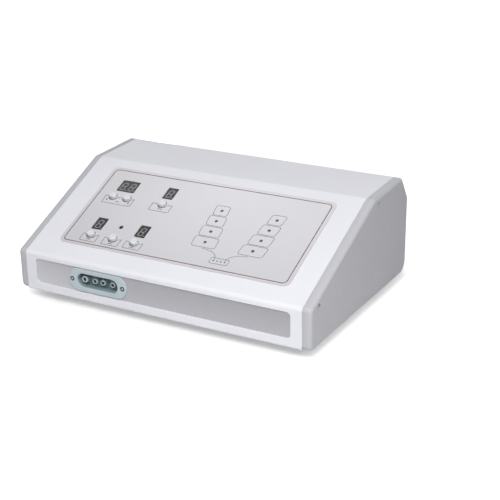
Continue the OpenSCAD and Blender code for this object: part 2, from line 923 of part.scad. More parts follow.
// Push button: cap through the panel, flange under it and a stem into its switch
flange_r = cap_r + 1.5;
flange_t = 1.2;
flange_top = -sheet_t - loose_gap;
stem_r = 1.7;
switch_body_h = board_drop - loose_gap - flange_t - button_travel - 0.4;
stem_in = 0.7;
stem_low = board_n + switch_body_h - stem_in;
well_deep = stem_in + button_travel + 0.6;
cap_round = 1.2;

module push_button(i) {
    color(white)
        on_slope(button_spots[i][0], button_spots[i][1], 0)
            rotate_extrude()
                polygon(concat([[0, stem_low], [stem_r, stem_low],
                    [stem_r, flange_top - flange_t], [flange_r, flange_top - flange_t],
                    [flange_r, flange_top], [cap_r, flange_top]],
                    [for (k = [0 : bend_steps]) [cap_r - cap_round * (1 - cos(90 * k / bend_steps)),
                        cap_proud - cap_round * (1 - sin(90 * k / bend_steps))]],
                    [[0, cap_proud]]));
}

module button_minus() {
    push_button(0);
}

module button_plus() {
    push_button(1);
}

module button_upper() {
    push_button(2);
}

module button_left() {
    push_button(3);
}

module button_middle() {
    push_button(4);
}

module button_right() {
    push_button(5);
}

module button_switches() {
    switch_w = 12;
    color(black)
        for (p = button_spots)
            on_slope(p[0], p[1], board_n)
                difference() {
                    block(switch_w, switch_w, switch_body_h);
                    translate([0, 0, switch_body_h - well_deep])
                        cylinder(r = stem_r + loose_gap, h = well_deep + cut);
                }
}

// ---- Boards, transformer and leads ----------------------------------------------------

main_x0 = conn_x + dist_w / 2 + 9;
main_x1 = seam_x - 39;
main_f0 = 18;
main_f1 = 120;
main_edge = 5;
main_h = sheet_t + spacer_h;                     // underside of the main board
main_top = main_h + board_t;
main_post_spots = [for (x = [main_x0 + main_edge, main_x1 - main_edge],
    f = [main_f0 + main_edge, main_f1 - main_edge]) [x, f]];
main_header_f = 60;
store_r = 6.5;
store_h = 22;
store_pitch = 18;
relay_w = 15;
relay_d = 17;
relay_pitch = 20;
fin_t = 1.6;
fin_l = 30;
fin_h = 26;
fin_pitch = 5;
fin_last = 5;
fin_base_t = 5;
chip_w = 34;
chip_d = 10;
chip_h = 4;
plug_w = 34;
plug_h = 12;

module board_spacers() {
    color(steel) {
        for (p = main_post_spots)
            at(p[0], p[1], sheet_t)
                tube(spacer_r, small_screw_r + run_gap, spacer_h);
        for (p = display_post_spots)
            on_slope(p[0], p[1], board_n)
                tube(spacer_r, small_screw_r + run_gap, board_drop);
    }
}

module small_screws() {
    board_screw_l = board_t + 5;
    color(steel) {
        for (p = main_post_spots)
            at(p[0], p[1], main_top)
                small_screw(board_screw_l);
        for (p = display_post_spots)
            on_slope(p[0], p[1], board_n - board_t)
                rotate([180, 0, 0])
                    small_screw(board_screw_l);
        for (i = [-1, 1], j = [-1, 1])
            on_rear(fan_x + i * fan_screw, rear_z + j * fan_screw, guard_t)
                small_screw(guard_t + sheet_t + fan_deep);
        for (p = lid_screw_spots)
            at(p[0], p[1], pump_top + lid_t)
                small_screw(lid_t + 6);
        for (side = [-1, 1])
            at(conn_x + side * motor_screw, dist_f, sheet_t + dist_h + motor_plate_t)
                small_screw(motor_plate_t + 6);
        for (side = [-1, 1])
            at(conn_x + side * motor_screw, dist_f, 0)
                rotate([180, 0, 0])
                    small_screw(sheet_t + 8);
    }
}

// A spot on the main board, as shares of its width and depth
module on_main(u, v) {
    at(main_x0 + (main_x1 - main_x0) * u, main_f0 + (main_f1 - main_f0) * v, main_h + board_t / 2)
        children();
}

module main_board() {
    color(green)
        difference() {
            union() {
                at(main_x0, main_f0, main_h)
                    cube([main_x1 - main_x0, main_f1 - main_f0, board_t]);
                at(ribbon_x, main_header_f, main_h + board_t / 2)
                    block(header_w, header_d, header_h + board_t / 2);
                for (i = [0, 1])
                    on_main(0.32, 0.31)
                        translate([i * store_pitch, 0, 0])
                            cylinder(r = store_r, h = store_h);
                for (i = [-1, 1], j = [-1, 1])
                    on_main(0.84, 0.27)
                        translate([i * relay_pitch / 2, j * relay_pitch / 2, 0])
                            block(relay_w, relay_d, relay_w);
                for (i = [0 : fin_last])
                    on_main(0.575, 0.725)
                        translate([(i - fin_last / 2) * fin_pitch, 0, 0])
                            block(fin_t, fin_l, fin_h);
                on_main(0.575, 0.725)
                    block(fin_last * fin_pitch + fin_t, fin_l, fin_base_t);
                on_main(0.56, 0.335)
                    block(chip_w, chip_d, chip_h);
                on_main(0.885, 0.845)
                    block(plug_w, plug_h, plug_h);
            }
            for (p = main_post_spots)
                at(p[0], p[1], main_h - cut)
                    cylinder(r = small_screw_r + hole_gap, h = board_t + 2 * cut);
        }
}

module ribbon_cable() {
    thick = 0.9;
    top = slope_spot(ribbon_s - thick / 2, board_n - board_t - header_h);
    bend = slope_spot(ribbon_s - thick / 2, board_n - board_t - header_h - 9);
    foot = [main_header_f + thick / 2, main_top + header_h];
    color(grey)
        along_x(ribbon_x - ribbon_w / 2, ribbon_x + ribbon_w / 2)
            band([top, bend, [foot[0], foot[1] + 10], foot], [0, 5, 6, 0], thick);
}

core_x = seam_x - 69;
core_f = casing_d - 78;
core_w = 57;
core_d = 24;
core_h = 48;
core_leg = 9.5;
coil_gap = 0.3;
core_strap_t = 1.2;
core_ear = 12;
core_screw = core_w / 2 + core_strap_t + core_ear / 2;
winding_d = core_d + 18;

module transformer_core() {
    window_h = core_h - 2 * core_leg;
    color(steel)
        at(core_x, core_f, sheet_t)
            difference() {
                union() {
                    block(core_w, core_d, core_h);
                    block(core_w + 2 * core_strap_t, core_d - 4, core_h + core_strap_t);
                    block(core_w + 2 * (core_strap_t + core_ear), core_d - 4, core_strap_t);
                }
                for (side = [-1, 1])
                    translate([side * (core_w / 2 - core_leg * 1.5), 0, core_leg])
                        block(core_leg, core_d + 2 * cut, window_h);
                for (side = [-1, 1])
                    translate([side * core_screw, 0, -cut])
                        cylinder(r = screw_hole_r, h = core_strap_t + 2 * cut);
            }
}

module transformer_winding() {
    leg_w = core_w - 4 * core_leg;
    out_w = leg_w + 2 * (core_leg - coil_gap);
    color(copper)
        at(core_x, core_f, sheet_t + core_leg + coil_gap)
            difference() {
                block(out_w, winding_d, core_h - 2 * core_leg - 2 * coil_gap);
                translate([0, 0, -cut])
                    block(leg_w + 2 * coil_gap, core_d + 2 * coil_gap, core_h);
            }
}

// Round lead along a path; ref is a direction that no stretch follows
lead_r = 1.1;
lead_sides = 8;
lead_gap = 0.6;

module lead(path, ref) {
    last = len(path) - 1;
    rings = [for (i = [0 : last])
        let (t = unit(path[min(i + 1, last)] - path[max(i - 1, 0)]))
        let (a = unit(cross(t, ref)), b = cross(t, a))
        for (k = [0 : lead_sides - 1])
            path[i] + lead_r * (a * cos(360 * k / lead_sides) + b * sin(360 * k / lead_sides))];
    sides = [for (i = [0 : last - 1], k = [0 : lead_sides - 1])
        let (n = (k + 1) % lead_sides, p = i * lead_sides, q = p + lead_sides)
        for (face = [[p + k, p + n, q + n], [p + k, q + n, q + k]]) face];
    start = [for (k = [1 : lead_sides - 2]) [0, k + 1, k]];
    end = [for (k = [1 : lead_sides - 2]) [0, k, k + 1] + [1, 1, 1] * last * lead_sides];
    polyhedron(rings, concat(sides, start, end), convexity = 4);
}

// Smooth sag between two ends: straight out of each end, lowest in the middle
function sag_path(a, b, out_a, out_b, n) =
    [for (i = [0 : n]) let (t = i / n)
        a * pow(1 - t, 3) + (a + out_a) * 3 * t * pow(1 - t, 2)
        + (b + out_b) * 3 * t * t * (1 - t) + b * pow(t, 3)];

module mains_leads() {
    steps = 12;
    inlet_back = rear_f - inlet_deep - lead_gap;
    tab_end = rear_f - switch_deep - tab_l - lead_gap;
    winding_rear = core_f + winding_d / 2 + lead_gap;
    color([0.35, 0.2, 0.12])
        at(0, 0, 0) {
            for (h = [-4, 4])
                lead(sag_path([inlet_x - 7, inlet_back, rear_z + h],
                    [core_x + h * 1.5, winding_rear, 24], [0, -14, 0], [0, 10, 0],
                    steps), [1, 0, 0]);
            lead(sag_path([inlet_x + 7, inlet_back, rear_z + 6],
                [switch_x, tab_end, rear_z + 6], [0, -24, 0], [0, -24, 0],
                2 * steps), [0, 0, 1]);
        }
}

// ---- Mains inlet, fuse drawer, power switch ---------------------------------------------

inlet_deep = 28;
inlet_flange_t = 1.5;
socket_w = 24;
socket_h = 16;
socket_deep = 17;
socket_up = 6;
socket_chamfer = 4;
contact_l = 11;
drawer_w = 19.4;
drawer_h = 7;
drawer_deep = 24;
drawer_down = 10;
fuse_r = 2.6;
fuse_l = 20;
fuse_pitch = 7;

module power_inlet() {
    color(black)
        on_rear(inlet_x, rear_z, 0) {
            difference() {
                union() {
                    block(inlet_w + 3.5, inlet_h + 5.5, inlet_flange_t);
                    translate([0, 0, -inlet_deep])
                        block(inlet_w, inlet_h, inlet_deep + inlet_flange_t / 2);
                }
                translate([0, socket_up, inlet_flange_t - socket_deep])
                    linear_extrude(socket_deep + cut)
                        polygon([[-socket_w / 2, -socket_h / 2], [socket_w / 2, -socket_h / 2],
                            [socket_w / 2, socket_h / 2 - socket_chamfer],
                            [socket_w / 2 - socket_chamfer, socket_h / 2],
                            [socket_chamfer - socket_w / 2, socket_h / 2],
                            [-socket_w / 2, socket_h / 2 - socket_chamfer]]);
                translate([0, -drawer_down, inlet_flange_t - drawer_deep - loose_gap])
                    block(drawer_w + 2 * flat_gap, drawer_h + 2 * flat_gap, drawer_deep + cut);
            }
            for (x = [-7, 0, 7])
                translate([x, socket_up + (x == 0 ? 2 : -2),
                        inlet_flange_t - socket_deep - cut])
                    block(2, 4, contact_l + cut);
        }
}

module fuse_drawer() {
    trough = 2 * (fuse_r + 0.15);
    color(black)
        on_rear(inlet_x, rear_z - drawer_down, inlet_flange_t - drawer_deep)
            difference() {
                block(drawer_w, drawer_h, drawer_deep);
                for (side = [-1, 1])
                    translate([side * fuse_pitch / 2, drawer_h / 2 - trough + 0.01, 1])
                        translate([-trough / 2, 0, 0])
                            cube([trough, trough, fuse_l + 0.4]);
                translate([0, drawer_h / 2, drawer_deep])
                    rotate([0, 90, 0])
                        cylinder(r = 1.2, h = drawer_w / 2, center = true);
            }
}

module fuses() {
    color(silver)
        for (side = [-1, 1])
            on_rear(inlet_x + side * fuse_pitch / 2,
                    rear_z - drawer_down + drawer_h / 2 - fuse_r - 0.25,
                    inlet_flange_t - drawer_deep + 1.2)
                cylinder(r = fuse_r, h = fuse_l);
}

bezel_t = 1.8;
switch_deep = 15;
tab_l = 5;
rocker_room_l = rocker_l * cos(rocker_tilt) + rocker_rise * sin(rocker_tilt) + 0.25;
rocker_room_w = rocker_w / 2 + flat_gap;

module switch_housing() {
    color(black)
        on_rear(switch_x, rear_z, 0)
            difference() {
                union() {
                    block(switch_w + 2, switch_h + 2, bezel_t);
                    translate([0, 0, -switch_deep])
                        block(switch_w, switch_h, switch_deep + bezel_t / 2);
                    for (y = [-6, 0, 6])
                        translate([0, y, -switch_deep - tab_l])
                            block(4.8, 0.8, tab_l + cut);
                }
                translate([0, 0, -switch_deep + 3])
                    block(2 * rocker_room_w, 2 * rocker_room_l, switch_deep + bezel_t);
                translate([0, 0, -rocker_pivot_deep])
                    rotate([0, 90, 0])
                        cylinder(r = rocker_pin_r + run_gap, h = rocker_w + 2.4, center = true);
            }
}

module power_rocker() {
    color([0.08, 0.08, 0.09])
        on_rear(switch_x, rear_z, -rocker_pivot_deep)
            rotate([rocker_tilt, 0, 0])
                rotate([90, 0, 90]) {
                    translate([0, 0, -rocker_w / 2])
                        linear_extrude(rocker_w)
                            polygon([[-rocker_l, -1], [-rocker_l, rocker_rise],
                                [0, rocker_rise - rocker_dip], [rocker_l, rocker_rise],
                                [rocker_l, -1], [0, -3.5]]);
                    cylinder(r = rocker_pin_r, h = rocker_w + 2, center = true);
                }
}

// ---- Fan --------------------------------------------------------------------------------

hub_r = 10.5;
hub_top = 1.2;
fan_boss_t = 4;
fan_shaft_r = 1.5;
hub_l = fan_deep - fan_boss_t - hub_top - loose_gap;
guard_t = 1.2;
strut_w = 3;
blade_count = 7;
blade_r = fan_bore_r - 1;

// Fan space: local z runs inwards from the panel's inner face
module in_fan() {
    on_rear(fan_x, rear_z, -sheet_t)
        rotate([180, 0, 0])
            children();
}

module fan_frame() {
    strut_t = 2;
    color(black)
        in_fan()
            difference() {
                union() {
                    difference() {
                        block(fan_w, fan_w, fan_deep);
                        translate([0, 0, -cut])
                            cylinder(r = fan_bore_r, h = fan_deep + 2 * cut);
                    }
                    translate([0, 0, fan_deep - fan_boss_t])
                        cylinder(r = hub_r, h = fan_boss_t);
                    for (i = [0 : 2])
                        rotate(30 + 120 * i)
                            translate([0, -strut_w / 2, fan_deep - strut_t])
                                cube([fan_bore_r + 1, strut_w, strut_t]);
                }
                for (i = [-1, 1], j = [-1, 1])
                    translate([i * fan_screw, j * fan_screw, -cut])
                        cylinder(r = small_screw_r + hole_gap, h = fan_deep + 2 * cut);
                translate([0, 0, fan_deep - fan_boss_t - cut])
                    cylinder(r = fan_shaft_r + run_gap, h = fan_boss_t + 2 * cut);
            }
}

module fan_rotor() {
    blade_t = 1.2;
    blade_l = hub_l * 1.15;
    blade_pitch = 40;
    color([0.15, 0.15, 0.16])
        in_fan() {
            translate([0, 0, hub_top])
                cylinder(r = hub_r, h = hub_l);
            translate([0, 0, hub_top + hub_l - cut])
                cylinder(r = fan_shaft_r, h = fan_boss_t + loose_gap);
            intersection() {
                for (i = [0 : blade_count - 1])
                    rotate(360 * i / blade_count)
                        translate([hub_r - 1, 0, hub_top + hub_l / 2])
                            rotate([blade_pitch, 0, 0])
                                translate([0, -blade_t / 2, -blade_l / 2])
                                    cube([blade_r, blade_t, blade_l]);
                translate([0, 0, hub_top])
                    cylinder(r = blade_r, h = hub_l);
            }
        }
}

module fan_guard() {
    ring_w = 1.6;
    rim_r = fan_bore_r + 0.5;
    ear_r = 3.6;
    color(steel)
        on_rear(fan_x, rear_z, 0)
            difference() {
                union() {
                    for (r = [rim_r - 18, rim_r - 12, rim_r - 6, rim_r])
                        tube(r, r - ring_w, guard_t);
                    for (a = [45, 135])
                        rotate(a)
                            block(2 * sqrt(2) * fan_screw, ring_w, guard_t);
                    for (i = [-1, 1], j = [-1, 1])
                        translate([i * fan_screw, j * fan_screw, 0])
                            cylinder(r = ear_r, h = guard_t);
                }
                for (i = [-1, 1], j = [-1, 1])
                    translate([i * fan_screw, j * fan_screw, -cut])
                        cylinder(r = small_screw_r + hole_gap, h = guard_t + 2 * cut);
            }
}

// ---- Diaphragm pump -----------------------------------------------------------------------

lid_t = 3;
lid_post_r = 5;
pump_low = sheet_t + isolator_h;                 // underside of the pump case
pump_top = pump_low + pump_h;
pump_mid_h = pump_low + pump_h / 2;
port_r = 16;
skin_t = 1.6;                                    // diaphragm
skin_r = 21;
head_w = 46;
head_t = 18;
arm_t = 5;
arm_h = 24;
arm_back = 24;                                   // pivot behind the pump's middle
arm_front = 26;
arm_barrel_r = 4.5;
arm_pin_r = 2;
magnet_l = 20;
magnet_t = 5;
stud_r = 2.5;
washer_r = 6;
washer_t = 3;
arm_throw = (arm_back + arm_front) * sin(arm_swing);
arm_x = pump_w / 2 - pump_wall - loose_gap - max(arm_barrel_r, arm_t / 2 + arm_throw);
washer_gap = arm_back * sin(arm_swing) + washer_r * sin(arm_swing) + 0.1;
stud_hole_r = stud_r + (pump_w / 2 + skin_t - arm_x) * sin(arm_swing) + 0.1;
coil_half = arm_x - arm_t / 2 - magnet_t - arm_throw - 2;
post_inset = 6.5;
lid_screw_spots = [for (i = [-1, 1], j = [-1, 1])
    [conn_x + i * (pump_w / 2 - post_inset), pump_f + j * (pump_d / 2 - post_inset)]];
isolator_spots = lid_screw_spots;
isolator_r = 6;
isolator_stem_r = 2.4;

module pump_case() {
    color(silver)
        difference() {
            union() {
                difference() {
                    at(conn_x, pump_f, pump_low)
                        block(pump_w, pump_d, pump_h);
                    at(conn_x, pump_f, pump_low + pump_wall)
                        block(pump_w - 2 * pump_wall, pump_d - 2 * pump_wall, pump_h);
                }
                for (p = lid_screw_spots)
                    at(p[0], p[1], pump_low)
                        cylinder(r = lid_post_r, h = pump_h);
                for (side = [-1, 1])
                    at(conn_x + side * arm_x, pump_f + arm_back, pump_low) {
                        cylinder(r = arm_barrel_r, h = pump_h / 2 - arm_h / 2 - loose_gap);
                        cylinder(r = arm_pin_r, h = pump_h - 1);
                    }
                at(conn_x, pump_front + pump_wall / 2, strip_z)
                    rotate([90, 0, 0])
                        cylinder(r = stub_r, h = stub_l + pump_wall / 2);
            }
            at(conn_x, pump_f, pump_mid_h)
                rotate([0, 90, 0])
                    cylinder(r = port_r, h = pump_w + 2 * cut, center = true);
            for (p = lid_screw_spots)
                at(p[0], p[1], pump_top - 8)
                    cylinder(r = small_screw_r + run_gap, h = 9);
            for (p = isolator_spots)
                at(p[0], p[1], pump_low - cut)
                    cylinder(r = isolator_stem_r + hole_gap, h = 6);
            at(conn_x, pump_front - stub_l - cut, strip_z)
                rotate([-90, 0, 0])
                    cylinder(r = nozzle_bore_r, h = stub_l + pump_wall + 2 * cut);
        }
}

module pump_lid() {
    color(silver)
        difference() {
            at(conn_x, pump_f, pump_top)
                block(pump_w, pump_d, lid_t);
            for (p = lid_screw_spots)
                at(p[0], p[1], pump_top - cut)
                    cylinder(r = small_screw_r + hole_gap, h = lid_t + 2 * cut);
        }
}

// Electromagnet on the floor of the case: E-shaped core with its coil round the middle leg
module pump_coil() {
    core_l = 34;
    leg_t = 8;
    floor_h = pump_low + pump_wall;
    tall = pump_h / 2 - pump_wall + 10;
    color(copper)
        at(conn_x, pump_f - pump_d / 2 + pump_wall + core_l / 2 + 4, floor_h) {
            block(2 * coil_half, core_l, leg_t);
            for (side = [-1, 1])
                translate([side * (coil_half - leg_t / 2), 0, 0])
                    block(leg_t, core_l, tall);
            block(leg_t, core_l - 8, tall);
            translate([0, 0, leg_t])
                block(2 * (coil_half - leg_t) - 1, core_l, tall - leg_t - 4);
        }
}

// Swinging arm: barrel on the pivot pin, bar, magnet facing the coil, stud to the diaphragm
module pump_arm(side) {
    reach = arm_back + arm_front;
    skin_x = pump_w / 2 - arm_x;
    color(steel)
        at(conn_x + side * arm_x, pump_f + arm_back, pump_mid_h - arm_h / 2)
            mirror([side > 0 ? 0 : 1, 0, 0])
                difference() {
                    union() {
                        cylinder(r = arm_barrel_r, h = arm_h);
                        translate([-arm_t / 2, -reach, 0])
                            cube([arm_t, reach, arm_h]);
                        translate([-arm_t / 2 - magnet_t, -reach + 2, 2])
                            cube([magnet_t + 1, magnet_l, arm_h - 4]);
                        translate([0, -arm_back, arm_h / 2])
                            rotate([0, 90, 0]) {
                                cylinder(r = stud_r, h = skin_x + skin_t + washer_gap + washer_t);
                                cylinder(r = washer_r, h = skin_x - washer_gap);
                                translate([0, 0, skin_x + skin_t + washer_gap])
                                    cylinder(r = washer_r, h = washer_t);
                            }
                    }
                    translate([0, 0, -cut])
                        cylinder(r = arm_pin_r + run_gap, h = arm_h + 2 * cut);
                }
}

module pump_arm_left() {
    pump_arm(-1);
}

module pump_arm_right() {
    pump_arm(1);
}

// Rubber disc with a raised ring that rolls as the centre moves
module diaphragm(side) {
    ring_r = 12;
    ring_w = 2.4;
    color(rubber)
        at(conn_x + side * pump_w / 2, pump_f, pump_mid_h)
            rotate([0, side * 90, 0])
                rotate_extrude()
                    polygon(concat([[stud_hole_r, 0], [skin_r, 0], [skin_r, skin_t]],
                        [for (i = [0 : bend_steps]) [ring_r + ring_w * cos(180 * i / bend_steps),
                            skin_t + ring_w * sin(180 * i / bend_steps)]],
                        [[stud_hole_r, skin_t]]));
}

module diaphragm_left() {
    diaphragm(-1);
}

module diaphragm_right() {
    diaphragm(1);
}

module pump_head(side) {
    color(silver)
        at(conn_x + side * (pump_w / 2 + skin_t), pump_f, pump_mid_h)
            rotate([0, side * 90, 0])
                difference() {
                    block(head_w, head_w, head_t);
                    translate([0, 0, -cut])
                        cylinder(r = port_r, h = head_t - 6 + cut);
                    for (i = [0 : 4])
                        translate([0, (i - 2) * 8, head_t])
                            block(head_w + 2 * cut, 3, 2 * cut);
                }
}

module pump_head_left() {
    pump_head(-1);
}

module pump_head_right() {
    pump_head(1);
}

module pump_isolators() {
    color(rubber)
        for (p = isolator_spots)
            at(p[0], p[1], sheet_t) {
                cylinder(r = isolator_r, h = isolator_h);
                translate([0, 0, -sheet_t + flat_gap])
                    cylinder(r = isolator_stem_r, h = isolator_h + sheet_t + 3.5);
            }
}

// ---- Rotary distributor ---------------------------------------------------------------------

rotor_t = 5;
rotor_room_r = rotor_r + loose_gap;
rotor_room_h = rotor_t + 2 * loose_gap;
rotor_shaft_r = 2.5;
rotor_shaft_l = 12;
motor_r = 21;
motor_h = 18;
motor_plate_t = 2;
motor_screw = 27;

module distributor_body() {
    color([0.85, 0.85, 0.8])
        difference() {
            union() {
                at(conn_x, dist_f, sheet_t)
                    block(dist_w, dist_d, dist_h);
                for (x = concat([nozzle_large_x], nozzle_small_x))
                    at(conn_x + x, dist_front + cut, strip_z)
                        rotate([90, 0, 0])
                            cylinder(r = stub_r, h = stub_l + cut);
                at(conn_x, dist_rear - cut, strip_z)
                    rotate([-90, 0, 0])
                        cylinder(r = stub_r, h = stub_l + cut);
            }
            at(conn_x, dist_f, sheet_t + dist_h - rotor_room_h)
                cylinder(r = rotor_room_r, h = rotor_room_h + cut);
            for (x = concat([nozzle_large_x], nozzle_small_x))
                at(conn_x + x, dist_front - stub_l - cut, strip_z)
                    rotate([-90, 0, 0])
                        cylinder(r = nozzle_bore_r, h = stub_l + dist_d / 2);
            at(conn_x, dist_rear + stub_l + cut, strip_z)
                rotate([90, 0, 0])
                    cylinder(r = nozzle_bore_r, h = stub_l + dist_d / 2 - 4);
            for (side = [-1, 1], h = [-cut, dist_h - 7])
                at(conn_x + side * motor_screw, dist_f, sheet_t + h)
                    cylinder(r = small_screw_r + run_gap, h = h < 0 ? 9.5 : 8);
        }
}

module distributor_rotor() {
    color(cream)
        at(conn_x, dist_f, sheet_t + dist_h - rotor_room_h + loose_gap)
            difference() {
                union() {
                    cylinder(r = rotor_r, h = rotor_t);
                    cylinder(r = rotor_shaft_r, h = rotor_t + rotor_shaft_l);
                }
                translate([rotor_r * 0.62, 0, -cut])
                    cylinder(r = 2, h = rotor_t + 2 * cut);
            }
}

module distributor_motor() {
    shaft_room = rotor_shaft_l + 1;
    color(steel)
        at(conn_x, dist_f, sheet_t + dist_h)
            difference() {
                union() {
                    block(dist_w, 16, motor_plate_t);
                    cylinder(r = motor_r, h = motor_plate_t + motor_h);
                }
                translate([0, 0, -cut])
                    cylinder(r = rotor_shaft_r + run_gap, h = shaft_room + cut);
                for (side = [-1, 1])
                    translate([side * motor_screw, 0, -cut])
                        cylinder(r = small_screw_r + hole_gap, h = motor_plate_t + 2 * cut);
            }
}

top_cover();
base_chassis();
rear_panel();
left_cheek();
right_cheek();
cheek_screws();
casing_screws();
foot_front_left();
foot_front_right();
foot_rear_left();
foot_rear_right();
front_strip();
connector_plate();
connector_block();
connector_screws();
large_nozzle();
small_nozzles();
air_tubes();
control_label();
display_board();
display_pair();
display_upper();
display_left();
display_right();
status_led();
button_minus();
button_plus();
button_upper();
button_left();
button_middle();
button_right();
button_switches();
board_spacers();
small_screws();
main_board();
ribbon_cable();
transformer_core();
transformer_winding();
mains_leads();
power_inlet();
fuse_drawer();
fuses();
switch_housing();
power_rocker();
fan_frame();
fan_rotor();
fan_guard();
pump_case();
pump_lid();
pump_coil();
pump_arm_left();
pump_arm_right();
diaphragm_left();
diaphragm_right();
pump_head_left();
pump_head_right();
pump_isolators();
distributor_body();
distributor_rotor();
distributor_motor();
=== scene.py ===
import json
import math

import bmesh
import bpy
import numpy as np
from mathutils import Matrix, Vector
from mathutils.geometry import delaunay_2d_cdt


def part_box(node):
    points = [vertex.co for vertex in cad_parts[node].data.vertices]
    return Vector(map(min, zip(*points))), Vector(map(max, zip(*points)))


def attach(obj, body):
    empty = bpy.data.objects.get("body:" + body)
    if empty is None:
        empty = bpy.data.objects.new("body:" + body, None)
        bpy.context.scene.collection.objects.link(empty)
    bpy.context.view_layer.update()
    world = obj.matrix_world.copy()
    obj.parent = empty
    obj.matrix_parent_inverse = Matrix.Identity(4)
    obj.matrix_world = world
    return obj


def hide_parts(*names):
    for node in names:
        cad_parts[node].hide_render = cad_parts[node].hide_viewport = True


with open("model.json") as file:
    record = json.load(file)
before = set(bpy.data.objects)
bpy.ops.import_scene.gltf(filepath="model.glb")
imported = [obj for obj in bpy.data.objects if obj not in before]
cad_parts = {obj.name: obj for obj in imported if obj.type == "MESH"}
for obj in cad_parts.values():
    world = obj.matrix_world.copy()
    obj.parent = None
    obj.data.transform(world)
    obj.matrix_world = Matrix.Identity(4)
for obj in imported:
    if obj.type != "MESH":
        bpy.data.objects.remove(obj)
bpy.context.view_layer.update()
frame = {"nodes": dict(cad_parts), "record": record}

# ---- Viewpoint, light and floor ------------------------------------------------------
# The pump stands on a plain white sheet under soft light: a pale room, a broad high light
# from the front, smaller ones from the right, and a low one for its rear and left side.

VIEW_AZIMUTH, VIEW_ELEVATION, VIEW_ROLL = map(math.radians, (30.4038, 22.2839, -1.1556))
VIEW_DISTANCE = 1.523088
VIEW_TARGET = Vector((0.0, 0.036416, 0.00969))

back = Vector((math.sin(VIEW_AZIMUTH) * math.cos(VIEW_ELEVATION),
               -math.cos(VIEW_AZIMUTH) * math.cos(VIEW_ELEVATION), math.sin(VIEW_ELEVATION)))
level = Vector((math.cos(VIEW_AZIMUTH), math.sin(VIEW_AZIMUTH), 0.0))
upright = back.cross(level)
right = level * math.cos(VIEW_ROLL) + upright * math.sin(VIEW_ROLL)
up = upright * math.cos(VIEW_ROLL) - level * math.sin(VIEW_ROLL)

camera = bpy.data.objects.new("camera", bpy.data.cameras.new("camera"))
camera.data.lens = 85.755
camera.data.sensor_width = 36.0
camera.data.shift_x = 0.04
camera.data.shift_y = 0.04
camera.data.clip_end = 60.0
place = VIEW_TARGET + back * VIEW_DISTANCE
camera.matrix_world = Matrix((
    (right.x, up.x, back.x, place.x), (right.y, up.y, back.y, place.y),
    (right.z, up.z, back.z, place.z), (0, 0, 0, 1)))
bpy.context.scene.collection.objects.link(camera)
bpy.context.scene.camera = camera
bpy.context.scene.view_settings.view_transform = "Standard"


def add_node(tree, kind, inputs, operation=None):
    """A new shader node. Each input, by name or number, takes a value or another node's
    output."""
    node = tree.nodes.new("ShaderNode" + kind)
    if operation:
        node.operation = operation
    for key, value in inputs.items():
        if isinstance(value, bpy.types.NodeSocket):
            tree.links.new(value, node.inputs[key])
        else:
            node.inputs[key].default_value = value
    return node


world = bpy.data.worlds.new("room")
world.use_nodes = True
room = world.node_tree
room.nodes.clear()
rays = add_node(room, "LightPath", {})
seen = rays.outputs["Is Camera Ray"]
for ray in ("Is Glossy Ray", "Is Transmission Ray"):
    seen = add_node(room, "Math", {0: seen, 1: rays.outputs[ray]}, "MAXIMUM").outputs[0]
room_light = add_node(room, "Background", {"Color": (0.96, 0.98, 1.0, 1), "Strength": 0.2})
room_seen = add_node(room, "Background", {"Color": (1, 1, 1, 1), "Strength": 1.0})
room_mix = add_node(room, "MixShader", {"Fac": seen, 1: room_light.outputs[0],
                                        2: room_seen.outputs[0]})
add_node(room, "OutputWorld", {"Surface": room_mix.outputs[0]})
bpy.context.scene.world = world


def lamp(name, kind, spot, aim, energy, size):
    """A lamp at spot that shines towards aim; size is its edge length, or a sun's spread."""
    data = bpy.data.lights.new(name, kind)
    data.energy = energy
    if kind == "SUN":
        data.angle = size
    else:
        data.shape = "SQUARE"
        data.size = size
    item = bpy.data.objects.new(name, data)
    item.location = spot
    item.rotation_euler = (Vector(aim) - Vector(spot)).to_track_quat("-Z", "Y").to_euler()
    bpy.context.scene.collection.objects.link(item)


lamp("high_light", "SUN", (-0.3, -1.13, 2.2), (0, 0, 0), 0.71, math.radians(45))
lamp("high_right_light", "AREA", (0.5, -0.9, 1.0), (0.05, 0.0, 0.08), 11.0, 0.6)
lamp("low_right_light", "AREA", (0.55, -0.16, 0.05), (0.2, -0.03, 0.03), 0.13, 0.08)
lamp("rear_left_light", "AREA", (-0.8, 1.15, 0.075), (0.0, 0.1, 0.075), 9.0, 0.11)

# For the camera the floor glows up to white; within a box round the pump the glow is weaker, which
# paints shade on the floor beneath and beside it.
FLOOR_HALF = 30.0
SHADE_HALF = (0.175, 0.134, 0.0)
SHADE_FADE, GLOW_UNDER, GLOW_AWAY = 0.04, 0.33, 0.72
floor_mesh = bpy.data.meshes.new("floor")
floor_mesh.from_pydata([(x * FLOOR_HALF, y * FLOOR_HALF, 0)
                        for x, y in ((-1, -1), (1, -1), (1, 1), (-1, 1))], [], [(0, 1, 2, 3)])
floor = bpy.data.objects.new("floor", floor_mesh)
bpy.context.scene.collection.objects.link(floor)
floor_finish = bpy.data.materials.new("floor_white")
floor_finish.use_nodes = True
ground = floor_finish.node_tree
ground.nodes.clear()
away = add_node(ground, "TexCoord", {}).outputs["Object"]
for step, corner in (("ABSOLUTE", {}), ("SUBTRACT", {1: SHADE_HALF}),
                     ("MAXIMUM", {1: (0.0, 0.0, 0.0)})):
    away = add_node(ground, "VectorMath", {0: away, **corner}, step).outputs["Vector"]
away = add_node(ground, "VectorMath", {0: away}, "LENGTH").outputs["Value"]
floor_glow_painted_shade = add_node(ground, "MapRange", {"Value": away, "From Max": SHADE_FADE,
                                           "To Min": GLOW_UNDER, "To Max": GLOW_AWAY})
floor_glow = add_node(ground, "Emission", {"Color": (1, 1, 1, 1),
                                           "Strength": floor_glow_painted_shade.outputs["Result"]})
floor_none = add_node(ground, "Emission", {"Strength": 0.0})
floor_rays = add_node(ground, "LightPath", {})
